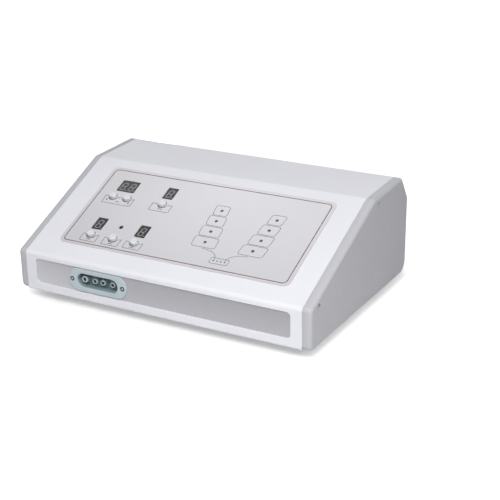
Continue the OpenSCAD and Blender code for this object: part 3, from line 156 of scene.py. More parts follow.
floor_pick = add_node(ground, "MixShader", {"Fac": floor_rays.outputs["Is Camera Ray"],
                                            1: floor_none.outputs[0], 2: floor_glow.outputs[0]})
floor_diffuse = add_node(ground, "BsdfDiffuse", {"Color": (0.80, 0.80, 0.80, 1)})
floor_sum = add_node(ground, "AddShader", {0: floor_diffuse.outputs[0], 1: floor_pick.outputs[0]})
add_node(ground, "OutputMaterial", {"Surface": floor_sum.outputs[0]})
floor_mesh.materials.append(floor_finish)

# ---- Casing cover --------------------------------------------------------------------
# One sheet of 1.5 mm steel, folded into upright front, sloping panel, top and sloping rear
# edge, with punched windows. It is powder coated white, which leaves a fine orange peel.

CASING_W, CASING_D, CASING_H = 400.0, 268.0, 128.0
APRON_H, RIDGE_D, RIDGE_DROP = 50.0, 166.0, 3.0
REAR_BEVEL_D, REAR_BEVEL_H = 20.0, 29.5
FRONT_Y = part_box("top_cover")[0].y * 1000
FOOT_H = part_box("top_cover")[0].z * 1000
CHEEK_T = 11.0
SEAM_X = CASING_W / 2 - CHEEK_T
SHEET_X = SEAM_X - 0.3
SHEET_T = 1.5
OUTLINE = np.array([(0, 0), (0, APRON_H), (RIDGE_D, CASING_H - RIDGE_DROP),
                    (CASING_D - REAR_BEVEL_D, CASING_H), (CASING_D, CASING_H - REAR_BEVEL_H),
                    (CASING_D, 0)], float)
OUTLINE_R = np.array([7.0, 6.0, 4.0, 4.0, 4.0, 16.0])
COVER_CORNER_R, HEM_IN, SKIRT_DOWN = 2.5, 14.0, 10.0
COVER_SCREWS_X, COVER_SCREW_R, COVER_SCREW_UP = (-150.0, -5.0, 150.0), 2.1, 5.0
FRONT_LEG, SLOPE_LEG, REAR_LEG = 1, 2, 5
SLOPE_A = math.atan2(CASING_H - RIDGE_DROP - APRON_H, RIDGE_D)


def rounded_corner(before, corner, after, radius, steps):
    """Points of the tangent arc in a corner: its centre lies on the corner's bisector, and the
    points turn about it in equal angles from one leg's tangent point to the other's."""
    u = (before - corner) / np.linalg.norm(before - corner)
    v = (after - corner) / np.linalg.norm(after - corner)
    half = math.acos(float(u @ v)) / 2
    middle = corner + (u + v) / np.linalg.norm(u + v) * radius / math.sin(half)
    start, end = corner + u * radius / math.tan(half), corner + v * radius / math.tan(half)
    a0 = math.atan2(*(start - middle)[::-1])
    a1 = math.atan2(*(end - middle)[::-1])
    turn = (a1 - a0 + 3 * math.pi) % (2 * math.pi) - math.pi
    a = a0 + turn * np.linspace(0, 1, steps + 1)
    return middle + radius * np.stack([np.cos(a), np.sin(a)], 1)


def rounded_loop(corners, radii, steps=12):
    """Closed outline with a tangent arc in each corner."""
    n = len(corners)
    return np.concatenate([rounded_corner(corners[i - 1], corners[i], corners[(i + 1) % n],
                                          radii[i], steps) for i in range(n)])


def rounded_box(w, h, r, centre=(0.0, 0.0), steps=10):
    """Closed rectangle with round corners, anticlockwise, about a centre."""
    corners = np.array([(-w, -h), (w, -h), (w, h), (-w, h)]) / 2 + np.array(centre)
    return rounded_loop(corners, [r] * 4, steps)


def round_hole(radius, centre=(0.0, 0.0), steps=40):
    """Closed circle of points about a centre."""
    a = np.arange(steps) * 2 * np.pi / steps
    return np.stack([np.cos(a), np.sin(a)], 1) * radius + np.array(centre)


def turned_left(loop):
    """The loop's points in anticlockwise order: twice the area of a loop is the sum of
    x y' - y x' over its legs, and is negative for a clockwise one."""
    x, y = loop.T
    return loop if x @ np.roll(y, -1) > y @ np.roll(x, -1) else loop[::-1]


def flat_fill(loops):
    """Fills the flat region inside the first loop and outside the others with faces that
    join their corners, by constrained triangulation. Returns points and faces."""
    loops = [turned_left(loop) for loop in loops]
    ends = np.cumsum([0] + [len(loop) for loop in loops])
    rings = [list(range(int(a), int(b))) for a, b in zip(ends[:-1], ends[1:])]
    made = delaunay_2d_cdt([Vector(p) for p in np.concatenate(loops)], [], rings, 0, 1e-4, True)
    return (np.array([tuple(p) for p in made[0]]),
            [tuple(face) for face, inside in zip(made[2], made[5]) if inside == [0]])


def grid_faces(rows, columns, close_rows=False, close_columns=False):
    """Four-cornered faces of a grid of points that is stored row by row."""
    i = np.arange(rows if close_rows else rows - 1)[:, None]
    j = np.arange(columns if close_columns else columns - 1)[None, :]
    i2, j2 = (i + 1) % rows, (j + 1) % columns
    quads = np.stack([i * columns + j, i * columns + j2, i2 * columns + j2, i2 * columns + j], -1)
    return quads.reshape(-1, 4)


def to_world(x, f, h):
    """Casing sizes (x across, f back from the front face, h up from the underside) in mm to
    points in metres."""
    x, f, h = np.broadcast_arrays(x, f, h)
    return np.stack([x, FRONT_Y + f, FOOT_H + h], -1).reshape(-1, 3) / 1000


def on_slope(x, s, n):
    """Points on the slope in metres: x across, s up from the bend, n outwards, in mm."""
    s, n = np.asarray(s, float), np.asarray(n, float)
    return to_world(x, s * math.cos(SLOPE_A) - n * math.sin(SLOPE_A),
                    APRON_H + s * math.sin(SLOPE_A) + n * math.cos(SLOPE_A))


def on_front(x, h, n):
    """Points on the front face in metres: x across, h up, n outwards, in mm."""
    return to_world(x, -np.asarray(n, float), h)


class Surface:
    """Collects sheets of points and faces for one piece."""

    def __init__(self):
        self.points, self.faces, self.count = [], [], 0

    def add(self, points, faces):
        self.faces += [tuple(int(v) + self.count for v in f) for f in faces]
        self.points.append(np.asarray(points, float).reshape(-1, 3))
        self.count += len(self.points[-1])


def make_piece(name, surface, finish, body="casing", turn=True, smooth=35.0):
    """Turns a surface into a piece: equal points are merged, faces turned outwards and edges
    sharper than an angle kept sharp."""
    mesh = bpy.data.meshes.new(name)
    mesh.from_pydata(np.concatenate(surface.points).tolist(), [], surface.faces)
    work = bmesh.new()
    work.from_mesh(mesh)
    bmesh.ops.remove_doubles(work, verts=work.verts, dist=2e-6)
    bmesh.ops.dissolve_degenerate(work, dist=1e-7, edges=work.edges)
    if turn:
        bmesh.ops.recalc_face_normals(work, faces=work.faces)
    work.to_mesh(mesh)
    work.free()
    mesh.shade_smooth()
    mesh.set_sharp_from_angle(angle=math.radians(smooth))
    mesh.materials.append(finish)
    piece = bpy.data.objects.new(name, mesh)
    bpy.context.scene.collection.objects.link(piece)
    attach(piece, body)
    return piece


def wall(piece, thickness):
    """Gives an open surface its wall, in mm, inwards from its face."""
    solid = piece.modifiers.new("wall", "SOLIDIFY")
    solid.thickness = thickness / 1000
    solid.offset = -1
    solid.use_even_offset = True


def soften(piece, width=0.25, segments=3, angle=40.0):
    """Breaks a piece's sharp edges by a small radius in mm and keeps its flats flat."""
    if width:
        edge = piece.modifiers.new("edge", "BEVEL")
        edge.width = width / 1000
        edge.segments = segments
        edge.limit_method = "ANGLE"
        edge.angle_limit = math.radians(angle)
        edge.use_clamp_overlap = False
        edge.harden_normals = False
    flats = piece.modifiers.new("flats", "WEIGHTED_NORMAL")
    flats.keep_sharp = True
    flats.weight = 100


def srgb(r, g, b):
    """A colour as it is seen, 0 to 255, to the linear value that a shader takes."""
    c = np.array([r, g, b]) / 255
    c = np.where(c <= 0.04045, c / 12.92, ((c + 0.055) / 1.055) ** 2.4)
    return (*(float(x) for x in c), 1.0)


class Finish:
    """A material with its shader, its Object coordinates and short ways to add layers."""

    def __init__(self, name, colour, roughness, metallic=0.0, coat=0.0, specular=0.5):
        self.material = bpy.data.materials.new(name)
        self.material.use_nodes = True
        self.material.diffuse_color = colour
        self.tree = self.material.node_tree
        self.shader = self.tree.nodes["Principled BSDF"]
        self.colour = colour
        for socket, value in (("Base Color", colour), ("Roughness", roughness),
                              ("Metallic", metallic), ("Specular IOR Level", specular),
                              ("Coat Weight", coat), ("Coat Roughness", 0.1)):
            self.shader.inputs[socket].default_value = value
        self.place = self.node("TexCoord", {}).outputs["Object"]
        self.height = None

    def node(self, kind, inputs, operation=None):
        """Adds a shader node to this material."""
        return add_node(self.tree, kind, inputs, operation)

    def feed(self, value, socket):
        """Leads a node's output into one of the shader's sockets."""
        self.tree.links.new(value, self.shader.inputs[socket])

    def along(self, axis):
        """Object coordinate along X, Y or Z."""
        return self.node("SeparateXYZ", {0: self.place}).outputs[axis]

    def noise(self, scale, detail=3.0, stretch=None):
        """Noise of a scale, with a factor along each axis where it is stretched."""
        place = self.place
        if stretch:
            place = self.node("Mapping", {"Vector": place, "Scale": stretch}).outputs[0]
        inputs = {"Vector": place, "Scale": scale, "Detail": detail}
        return self.node("TexNoise", inputs).outputs["Fac"]

    def sum(self, value, times, plus, other, share):
        """value times a factor, plus a constant, plus a share of another value."""
        first = self.node("Math", {0: value, 1: times, 2: plus}, "MULTIPLY_ADD").outputs[0]
        return self.node("Math", {0: other, 1: share, 2: first}, "MULTIPLY_ADD").outputs[0]

    def tint(self, value, low, high, start=0.35, end=0.65):
        """Blends from one colour to another while value goes from start to end."""
        node = self.node("ValToRGB", {0: value})
        for k, (position, colour) in enumerate(((start, low), (end, high))):
            node.color_ramp.elements[k].position = position
            node.color_ramp.elements[k].color = colour
        self.feed(node.outputs["Color"], "Base Color")

    def mottle(self, share, *noise):
        """The material's colour that wanders, by noise, into one darker by a share."""
        self.tint(self.noise(*noise), mixed(self.colour, share), self.colour)

    def gloss(self, low, high, *noise):
        """Roughness that wanders between two values."""
        inputs = {"Value": self.noise(*noise), "From Min": 0.3, "From Max": 0.7,
                  "To Min": low, "To Max": high}
        self.feed(self.node("MapRange", inputs).outputs[0], "Roughness")

    def bump(self, depth, strength, *noise):
        """Relief of a depth in mm, laid over what is there already."""
        inputs = {"Height": self.noise(*noise), "Distance": depth / 1000, "Strength": strength}
        if self.height:
            inputs["Normal"] = self.height
        self.height = self.node("Bump", inputs).outputs[0]
        self.feed(self.height, "Normal")


def mixed(colour, share, other=(0.0, 0.0, 0.0, 1.0)):
    """A share of another colour stirred into the first."""
    return tuple(a * (1 - share) + b * share for a, b in zip(colour[:3], other[:3])) + (1.0,)


POWDER_WHITE = srgb(236, 236, 242)
powder_coat = Finish("powder_coat_white", POWDER_WHITE, 0.42)
powder_coat.mottle(0.03, 9.0, 2.0)
powder_coat.gloss(0.38, 0.5, 60.0)
powder_coat.bump(0.02, 0.35, 900.0, 2.0)
powder_coat.bump(0.08, 0.15, 14.0, 1.0)

WINDOW_W, WINDOW_H, WINDOW_Z, WINDOW_R = 349.0, 31.5, 26.9, 5.0
DISPLAY_H, PAIR_W, SINGLE_W = 19.8, 25.4, 14.2
DISPLAYS_AT = {"display_pair": (-117.5, 135.5, PAIR_W), "display_upper": (-55.0, 135.7, SINGLE_W),
               "display_left": (-118.0, 65.7, SINGLE_W), "display_right": (-55.3, 65.7, SINGLE_W)}
BUTTONS_AT = {"button_minus": (-127.5, 114.9), "button_plus": (-106.7, 114.9),
              "button_upper": (-55.0, 115.7), "button_left": (-118.3, 46.0),
              "button_middle": (-86.0, 45.7), "button_right": (-55.1, 46.1)}
LAMP_AT, LAMP_R, CAP_R, WINDOW_GAP = (-86.9, 66.2), 2.5, 4.7, 0.4
panel_openings = [rounded_box(w + 2 * WINDOW_GAP, DISPLAY_H + 2 * WINDOW_GAP, 0.3, (x, s), 3)
                  for x, s, w in DISPLAYS_AT.values()]
panel_openings += [round_hole(CAP_R + WINDOW_GAP, p) for p in BUTTONS_AT.values()]
panel_openings += [round_hole(LAMP_R + WINDOW_GAP, LAMP_AT, 24)]

cover = Surface()
legs = [np.array((HEM_IN, 0.0)), *OUTLINE[:5],
        np.array((CASING_D, CASING_H - REAR_BEVEL_H - SKIRT_DOWN))]
bends = [rounded_corner(legs[i], legs[i + 1], legs[i + 2], r, 12)
         for i, r in enumerate((COVER_CORNER_R, *OUTLINE_R[1:5]))]
edges_x = np.array([-SHEET_X, SHEET_X])
for bend in bends:
    cover.add(to_world(edges_x[None, :], bend[:, :1], bend[:, 1:]), grid_faces(len(bend), 2))
starts = [legs[0]] + [bend[-1] for bend in bends]
ends = [bend[0] for bend in bends] + [legs[-1]]
for k, (a, b) in enumerate(zip(starts, ends)):
    length = float(np.linalg.norm(b - a))
    loops = [np.array([(-SHEET_X, 0), (SHEET_X, 0), (SHEET_X, length), (-SHEET_X, length)])]
    if k == FRONT_LEG:
        loops.append(rounded_box(WINDOW_W, WINDOW_H, WINDOW_R, (0, WINDOW_Z - a[1])))
    if k == SLOPE_LEG:
        up_slope = (a - OUTLINE[1]) @ (b - a) / length
        loops += [hole - np.array((0, up_slope)) for hole in panel_openings]
    if k == REAR_LEG:
        loops += [round_hole(COVER_SCREW_R, (x, COVER_SCREW_UP), 24) for x in COVER_SCREWS_X]
    flat, faces = flat_fill(loops)
    run = a + flat[:, 1:] / length * (b - a)
    cover.add(to_world(flat[:, 0], run[:, 0], run[:, 1]), faces)
casing_cover = make_piece("casing_cover", cover, powder_coat.material)
wall(casing_cover, SHEET_T)
soften(casing_cover, 0.2, 2, 50)
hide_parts("top_cover")

# ---- End cheeks ----------------------------------------------------------------------
# Two shallow grey mouldings with a rounded outer edge. They plug into the folded sheets and
# are held by two sunk screws each; their sides have the fine grain of a spark-eroded tool.

CHEEK_GREY = srgb(196, 196, 201)
cheek_grain_and_shade = Finish("cheek_grey_grain_painted_shade", CHEEK_GREY, 0.48)
# Painted shade: the colour darkens from right to left along X, so the left cheek is darker than
# the right; noise adds an uneven tone.
cheek_grain_and_painted_shade = cheek_grain_and_shade.sum(cheek_grain_and_shade.along("X"), -1.6, 0.18, cheek_grain_and_shade.noise(22.0, 4.0), 0.4)
cheek_grain_and_shade.tint(cheek_grain_and_painted_shade, CHEEK_GREY, mixed(CHEEK_GREY, 0.13), 0.0, 1.0)
cheek_grain_and_shade.gloss(0.42, 0.56, 90.0)
cheek_grain_and_shade.bump(0.03, 0.5, 1500.0, 3.0)

CHEEK_EDGE_R, CHEEK_SHELL, CHEEK_WALL = 4.5, 2.2, 3.0
SCREW_IN, FRONT_SCREW, REAR_SCREW = 10.0, 19.5, 12.0
CHEEK_SCREWS = (
    (FRONT_SCREW, APRON_H + FRONT_SCREW * math.tan(SLOPE_A) - SCREW_IN / math.cos(SLOPE_A)),
    (RIDGE_D + REAR_SCREW, CASING_H - RIDGE_DROP
     + REAR_SCREW * RIDGE_DROP / (CASING_D - REAR_BEVEL_D - RIDGE_D) - SCREW_IN))
SINK_R, SINK_DEEP, SHANK_R = 3.3, 9.0, 2.1
LIP_X, LIP_IN, LIP_T = 181.0, 1.7, 2.0
BOSS_R, PEG_R = 4.6, 2.5
PEGS = ((34.0, 12.0), (CASING_D - 26.0, 24.0))


def inset_loop(corners, d):
    """Corners of a closed outline moved inwards by d: each side is shifted along its normal
    and the corners are where neighbouring sides then meet."""
    ahead = np.roll(corners, -1, 0) - corners
    ahead /= np.linalg.norm(ahead, axis=1)[:, None]
    inward = np.stack([ahead[:, 1], -ahead[:, 0]], 1)
    m, n = np.roll(inward, 1, 0), inward
    return corners + (m + n) * d / (1 + (m * n).sum(1))[:, None]


def outline_inset(d):
    """The casing's rounded outline, moved inwards by d."""
    return rounded_loop(inset_loop(OUTLINE, d), np.maximum(OUTLINE_R - d, 0.4))


def circles(radii, centre):
    """Circles of the given radii about one centre."""
    return np.array(radii)[:, None, None] * round_hole(1.0, steps=36) + np.array(centre)


def add_rings(surface, x, loops, closed=False):
    """Joins loops of (f, h) points, each at its own x, one after another."""
    loops = np.asarray(loops)
    surface.add(to_world(x[:, None], loops[..., 0], loops[..., 1]),
                grid_faces(*loops.shape[:2], close_rows=closed, close_columns=True))


for side, name in ((1, "right_cheek"), (-1, "left_cheek")):
    cheek = Surface()
    round_over = np.linspace(0, math.pi / 2, 11)
    depths = np.concatenate([[0.0], CHEEK_EDGE_R * (1 - np.cos(round_over)),
                             [CHEEK_EDGE_R + 0.8]])
    reach = np.concatenate([[SEAM_X], CASING_W / 2 - CHEEK_EDGE_R * (1 - np.sin(round_over)),
                            [CASING_W / 2]])
    rings = np.stack([outline_inset(d) for d in depths])
    add_rings(cheek, side * reach, rings)
    sinks = [round_hole(SINK_R + 0.3, p, 36) for p in CHEEK_SCREWS]
    flat, faces = flat_fill([rings[-1]] + sinks)
    cheek.add(to_world(side * CASING_W / 2, flat[:, 0], flat[:, 1]), faces)
    for centre in CHEEK_SCREWS:
        cup = circles((SINK_R + 0.3, SINK_R + 0.09, SINK_R, SINK_R, SHANK_R), centre)
        deep = np.array([0.0, 0.09, 0.3, SINK_DEEP, SINK_DEEP])
        add_rings(cheek, side * (CASING_W / 2 - deep), cup)
    piece = make_piece(name.replace("_", "_end_"), cheek, cheek_grain_and_shade.material, turn=False,
                       smooth=40)
    work = bmesh.new()
    work.from_mesh(piece.data)
    bmesh.ops.recalc_face_normals(work, faces=work.faces)
    face = max(work.faces, key=lambda f: f.calc_area())
    if face.normal.x * side < 0:
        bmesh.ops.reverse_faces(work, faces=work.faces)
    work.to_mesh(piece.data)
    work.free()
    wall(piece, CHEEK_SHELL)
    soften(piece, 0)
    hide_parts(name)
    lip = Surface()
    inner_x = CASING_W / 2 - CHEEK_WALL
    outer, inner = outline_inset(LIP_IN), outline_inset(LIP_IN + LIP_T)
    add_rings(lip, side * np.array([LIP_X, inner_x, inner_x, LIP_X]),
              [outer, outer, inner, inner], closed=True)
    bosses = [(p, (SHANK_R, BOSS_R, BOSS_R, SHANK_R), LIP_X - 0.5) for p in CHEEK_SCREWS]
    pegs = [(p, (0.0, PEG_R, PEG_R, 0.0), LIP_X - 3.5) for p in PEGS]
    for centre, radii, start in bosses + pegs:
        add_rings(lip, side * np.array([start, start, inner_x + 0.5, inner_x + 0.5]),
                  circles(radii, centre), closed=radii[0] > 0)
    soften(make_piece(name + "_lip", lip, cheek_grain_and_shade.material), 0)


def dressed(node, finish, edge=0.2, smooth=30.0, segments=2):
    """Shows a CAD node through a welded copy: its triangles are merged, flat faces joined,
    and its edges broken by a small radius."""
    mesh = frame["nodes"][node].data.copy()
    mesh.name = node + "_dressed"
    work = bmesh.new()
    work.from_mesh(mesh)
    bmesh.ops.remove_doubles(work, verts=work.verts, dist=1e-6)
    bmesh.ops.dissolve_limit(work, angle_limit=math.radians(0.6), verts=work.verts,
                             edges=work.edges)
    work.to_mesh(mesh)
    work.free()
    mesh.shade_smooth()
    mesh.set_sharp_from_angle(angle=math.radians(smooth))
    mesh.materials.clear()
    mesh.materials.append(finish)
    piece = bpy.data.objects.new(node + "_dressed", mesh)
    bpy.context.scene.collection.objects.link(piece)
    body = next(b for b, held in frame["record"]["behaviour"]["bodies"].items() if node in held)
    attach(piece, body)
    soften(piece, edge, segments)
    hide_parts(node)


def finish_nodes(finish, *names):
    """Gives CAD nodes a finish in place of their plain one."""
    for name in names:
        mesh = frame["nodes"][name].data
        mesh.materials.clear()
        mesh.materials.append(finish)


SCREW_BLACK = srgb(52, 52, 55)
black_oxide = Finish("screw_black_oxide", SCREW_BLACK, 0.38, metallic=0.7)
black_oxide.tint(black_oxide.noise(500.0), SCREW_BLACK, mixed(SCREW_BLACK, 0.2, (1, 1, 1, 1)))
black_oxide.gloss(0.3, 0.5, 300.0)
finish_nodes(black_oxide.material, "cheek_screws")

# ---- Front strip ---------------------------------------------------------------------
# A thin anodised strip behind the front window. Its fine satin grain runs along the strip; its
# colour is painted paler low down and towards its left end and deeper upwards, as painted
# reflection and shade.

STRIP_PALE, STRIP_DEEP = srgb(209, 208, 213), srgb(173, 172, 177)
STRIP_GRAIN, STRIP_MID_H, LEFT_END_X = (0.03, 1.0, 1.0), 27.0, -0.03
strip_satin = Finish("strip_satin_silver_painted_light", STRIP_PALE, 0.5, metallic=0.15)
# Painted reflection and shade: the tone deepens with height and to the right, and pales further
# towards the left end.
painted_light_left_end = strip_satin.node("Math", {0: strip_satin.along("X"), 1: LEFT_END_X}, "MINIMUM")
strip_grain_and_painted_light = strip_satin.sum(strip_satin.along("Z"), 12.5,
                             0.825 - 0.0125 * (FOOT_H + STRIP_MID_H), painted_light_left_end.outputs[0], 3.6)
strip_grain_and_painted_light = strip_satin.sum(strip_satin.along("X"), 0.55, 0.0, strip_grain_and_painted_light, 1.0)
strip_grain_and_painted_light = strip_satin.sum(strip_grain_and_painted_light, 1.0, 0.0, strip_satin.noise(900.0, 3.0, STRIP_GRAIN),
                             0.12)
strip_satin.tint(strip_grain_and_painted_light, STRIP_PALE, STRIP_DEEP, 0.0, 1.0)
strip_satin.gloss(0.44, 0.56, 600.0, 3.0, STRIP_GRAIN)
strip_satin.bump(0.004, 0.3, 1600.0, 3.0, (0.02, 1.0, 1.0))
finish_nodes(strip_satin.material, "front_strip")

# ---- Air connector -------------------------------------------------------------------
# A moulded plate with a stadium opening lies flush in the strip and is held by two screws.
# Behind it sits a dark block with one large and three small hose nozzles pressed into it.

CONN_X, PLATE_W, PLATE_H = -83.0, 84.0, 28.5
PORT_W, PORT_H, PORT_DEEP = 58.5, 17.5, 12.0
PLATE_PROUD, PLATE_SCREWS = 0.4, 72.5
NOZZLES = [(-21.0, 4.4), (-6.0, 3.6), (5.5, 3.6), (19.5, 3.6)]
NOZZLE_TIP, NOZZLE_BORE, ROOT_R, ROOT_LONG = 3.5, 1.6, 3.0, 14.0
MOUTH_R, MOUTH_FLARE = 1.35, 0.25

PLATE_TEAL = srgb(190, 203, 208)
plate_moulding = Finish("connector_plate_teal", PLATE_TEAL, 0.34)
plate_moulding.mottle(0.05, 60.0)
plate_moulding.gloss(0.28, 0.42, 150.0)
plate_moulding.bump(0.01, 0.3, 1200.0)


def stadium(w, h, steps=24):
    """Closed stadium: two half circles joined by straight sides, anticlockwise from the
    lower right. Stadiums with the same steps have matching points."""
    a = np.linspace(-math.pi / 2, math.pi / 2, steps + 1)
    cap = np.stack([np.cos(a), np.sin(a)], 1) * h / 2
    half = (w - h) / 2
    return np.concatenate([cap + (half, 0), -cap - (half, 0)])


plate = Surface()
outer, inner = stadium(PLATE_W, PLATE_H), stadium(PORT_W, PORT_H)
round_in = np.linspace(0, math.pi / 2, 6)
edge_in = np.concatenate([[0.0], 0.9 * (1 - np.cos(round_in)), [1.6]])
lift = np.concatenate([[-SHEET_T], PLATE_PROUD - 0.6 * (1 - np.sin(round_in)), [PLATE_PROUD]])
across = (outer - inner) / np.linalg.norm(outer - inner, axis=1)[:, None]
rows = [(outer - across * d, n) for d, n in zip(edge_in, lift)]
rows += [(inner + across * d, n) for d, n in zip(edge_in[::-1], lift[::-1])]
loops = np.stack([r for r, _ in rows])
heights = np.array([n for _, n in rows])
plate.add(on_front(CONN_X + loops[..., 0], WINDOW_Z + loops[..., 1], heights[:, None]),
          grid_faces(*loops.shape[:2], close_rows=True, close_columns=True))
connector_face = make_piece("connector_face", plate, plate_moulding.material)
soften(connector_face, 0)
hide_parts("connector_plate")

BLOCK_DARK = srgb(146, 165, 171)
block_moulding = Finish("connector_block_dark", BLOCK_DARK, 0.38)
block_moulding.mottle(0.15, 120.0)
block_moulding.bump(0.02, 0.3, 1300.0)
dressed("connector_block", block_moulding.material, 0.3)

NOZZLE_CREAM = srgb(200, 207, 207)
nozzle_moulding = Finish("nozzle_white", NOZZLE_CREAM, 0.3, coat=0.2)
nozzle_moulding.mottle(0.06, 300.0)
nozzle_moulding.gloss(0.24, 0.4, 300.0)
# Painted shade: a black disc inside each nozzle's bore and a flat black ring round each plate
# screw stand in for the shade in these holes.
PAINTED_SHADE_BLACK = srgb(20, 22, 23)
painted_shade_dark = Finish("painted_shade_black", PAINTED_SHADE_BLACK, 0.6)
painted_shade_dark.bump(0.02, 1.0, 900.0)


def turned(profile, where, steps=48, closed=True):
    """Surface of revolution: a profile of (radius, height) points carried round an axis.
    where maps x, y and height, in mm, to points in metres."""
    a = np.arange(steps) * 2 * np.pi / steps
    r, n = np.asarray(profile, float).T
    x, y = r[:, None] * np.cos(a), r[:, None] * np.sin(a)
    points = where(x, y, np.broadcast_to(n[:, None], x.shape))
    return points, grid_faces(len(r), steps, close_rows=closed, close_columns=True)


def arc(radius_at, height_at, radius, start, end, steps=6):
    """Quarter-round or other arc of a profile: centre, radius and the angles it spans."""
    a = np.radians(np.linspace(start, end, steps + 1))
    return [(radius_at + radius * c, height_at + radius * s) for c, s in zip(np.cos(a), np.sin(a))]


def about(face, x, y):
    """Map for a turned piece whose axis stands on a face, on_front or on_slope, at x, y."""
    return lambda u, v, n: face(x + u, y + v, n)


tip, port_floor = -NOZZLE_TIP, -SHEET_T - PORT_DEEP
root = port_floor - ROOT_LONG
# Painted shade: each nozzle's sides take the block's darker teal, and only its tip is cream.
for name, group in (("large_nozzle", NOZZLES[:1]), ("small_nozzles", NOZZLES[1:])):
    spigots_painted_shade, tips, shade_discs = Surface(), Surface(), Surface()
    for x, r in group:
        mouth, where = MOUTH_R + MOUTH_FLARE * r, about(on_front, CONN_X + x, WINDOW_Z)
        spigots_painted_shade.add(*turned([(NOZZLE_BORE, root), (ROOT_R, root), (ROOT_R, port_floor),
                             (r, port_floor), (r, tip - 1.4), (NOZZLE_BORE, tip - 1.4)], where))
        rim = [(mouth, tip - 1.5), (r - 0.45, tip - 1.5)] + arc(r - 0.85, tip - 0.4, 0.4, 0, 90)
        tips.add(*turned(rim + arc(mouth + 0.3, tip - 0.3, 0.3, 90, 180), where))
        bore = mouth - 0.02
        shade_discs.add(*turned([(0.0, tip - 0.7), (bore, tip - 0.7), (bore, tip - 1.2),
                           (0.0, tip - 1.2)], where, 32))
    for part, surface, finish, slot in (("turned", spigots_painted_shade, block_moulding, "nozzle_cream"),
                                        ("tips", tips, nozzle_moulding, "nozzle_cream"),
                                        ("bore", shade_discs, painted_shade_dark, "block_dark")):
        piece = make_piece(name + "_" + part, surface, finish.material)
        soften(piece, 0)
        if part == "turned":
            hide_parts(name)

# Two pan-headed screws with a sunk middle hold the plate, each inside a flat dark ring of painted
# shade where its sunk hole would lie in shade.
SCREW_STEEL = srgb(152, 154, 158)
nickel = Finish("screw_nickel", SCREW_STEEL, 0.28, metallic=0.9)
nickel.mottle(0.15, 400.0)
nickel.gloss(0.22, 0.4, 500.0)
SCREW_R, SCREW_END, HEAD_R, HEAD_EDGE, RING_R = 1.5, -8.0, 1.95, 0.25, 3.0
head_top, ring_top, ring_in = PLATE_PROUD + 0.3, PLATE_PROUD + 0.01, HEAD_R + 0.02
head = ([(0.0, SCREW_END), (SCREW_R, SCREW_END), (SCREW_R, PLATE_PROUD), (HEAD_R, PLATE_PROUD)]
        + arc(HEAD_R - HEAD_EDGE, head_top - HEAD_EDGE, HEAD_EDGE, 0, 90, 4)
        + [(1.2, head_top), (0.9, head_top - 0.25), (0.3, head_top - 0.7), (0.0, head_top - 0.7)])
painted_shade_ring = [(ring_in, ring_top), (RING_R, ring_top), (RING_R, PLATE_PROUD - 0.2),
        (ring_in, PLATE_PROUD - 0.2)]
plate_screws, painted_shade_rings = Surface(), Surface()
for side in (-1, 1):
    where = about(on_front, CONN_X + side * PLATE_SCREWS / 2, WINDOW_Z)
    plate_screws.add(*turned(head, where, 32, closed=False))
    painted_shade_rings.add(*turned(painted_shade_ring, where, 32))
piece = make_piece("connector_screw_heads", plate_screws, nickel.material)
soften(piece, 0)
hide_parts("connector_screws")
make_piece("connector_screw_painted_shade_rings", painted_shade_rings, painted_shade_dark.material)

# ---- Panel sheet ---------------------------------------------------------------------
# A 0.6 mm grey polycarbonate sheet glued on the slope. It is printed with a thin mauve frame,
# outlined trays under the buttons and a plain line drawing of two air cuffs and their hoses.

LABEL_W, LABEL_H, LABEL_R, LABEL_T = 316.0, 141.0, 8.0, 0.6
LABEL_AT = (2.0, 96.1)
LABEL_TOP, INK_T = LABEL_T + 0.05, 0.02
FRAME_W, FRAME_H, FRAME_R, FRAME_AT = 306.0, 132.0, 5.5, (1.9, 96.0)
FADE_X, FADE_Y, FADE_W, FADE_H = 0.01, 0.024, 0.3, 0.17
LABEL_PALE, LABEL_GREY = srgb(231, 230, 234), srgb(203, 202, 206)
panel_film = Finish("panel_sheet_grey_painted_light", LABEL_GREY, 0.36)
# Painted light and shade: a round gradient makes the sheet paler towards its top middle and greyer
# towards its front edge and ends; noise adds an uneven tone.
painted_light_place = panel_film.node("Mapping", {"Vector": panel_film.place,
                                         "Scale": (1 / FADE_W, 1 / FADE_H, 0.0),
                                         "Location": (-FADE_X / FADE_W, -FADE_Y / FADE_H, 0.0)})
painted_light_fade = panel_film.node("TexGradient", {"Vector": painted_light_place.outputs[0]})
painted_light_fade.gradient_type = "SPHERICAL"
panel_film.tint(panel_film.sum(painted_light_fade.outputs["Fac"], 1.0, -0.02, panel_film.noise(900.0), 0.04),
                LABEL_GREY, LABEL_PALE, 0.0, 1.0)
panel_film.gloss(0.3, 0.44, 40.0)
panel_film.bump(0.01, 0.5, 1800.0, 2.0)

flat, faces = flat_fill([rounded_box(LABEL_W, LABEL_H, LABEL_R, LABEL_AT, 14)]
                        + panel_openings)
film = Surface()
film.add(on_slope(flat[:, 0], flat[:, 1], LABEL_TOP), faces)
panel_sheet = make_piece("panel_sheet", film, panel_film.material)
wall(panel_sheet, LABEL_T)
soften(panel_sheet, 0.12, 2, 50)
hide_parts("control_label")


def ink(name, colour):
    """Screen-printing ink: flat and matt, with the mesh's fine unevenness."""
    finish = Finish(name, colour, 0.55)
    finish.tint(finish.noise(700.0), mixed(colour, 0.15, (1, 1, 1, 1)), colour)
    finish.bump(0.005, 0.5, 2500.0)
    return finish


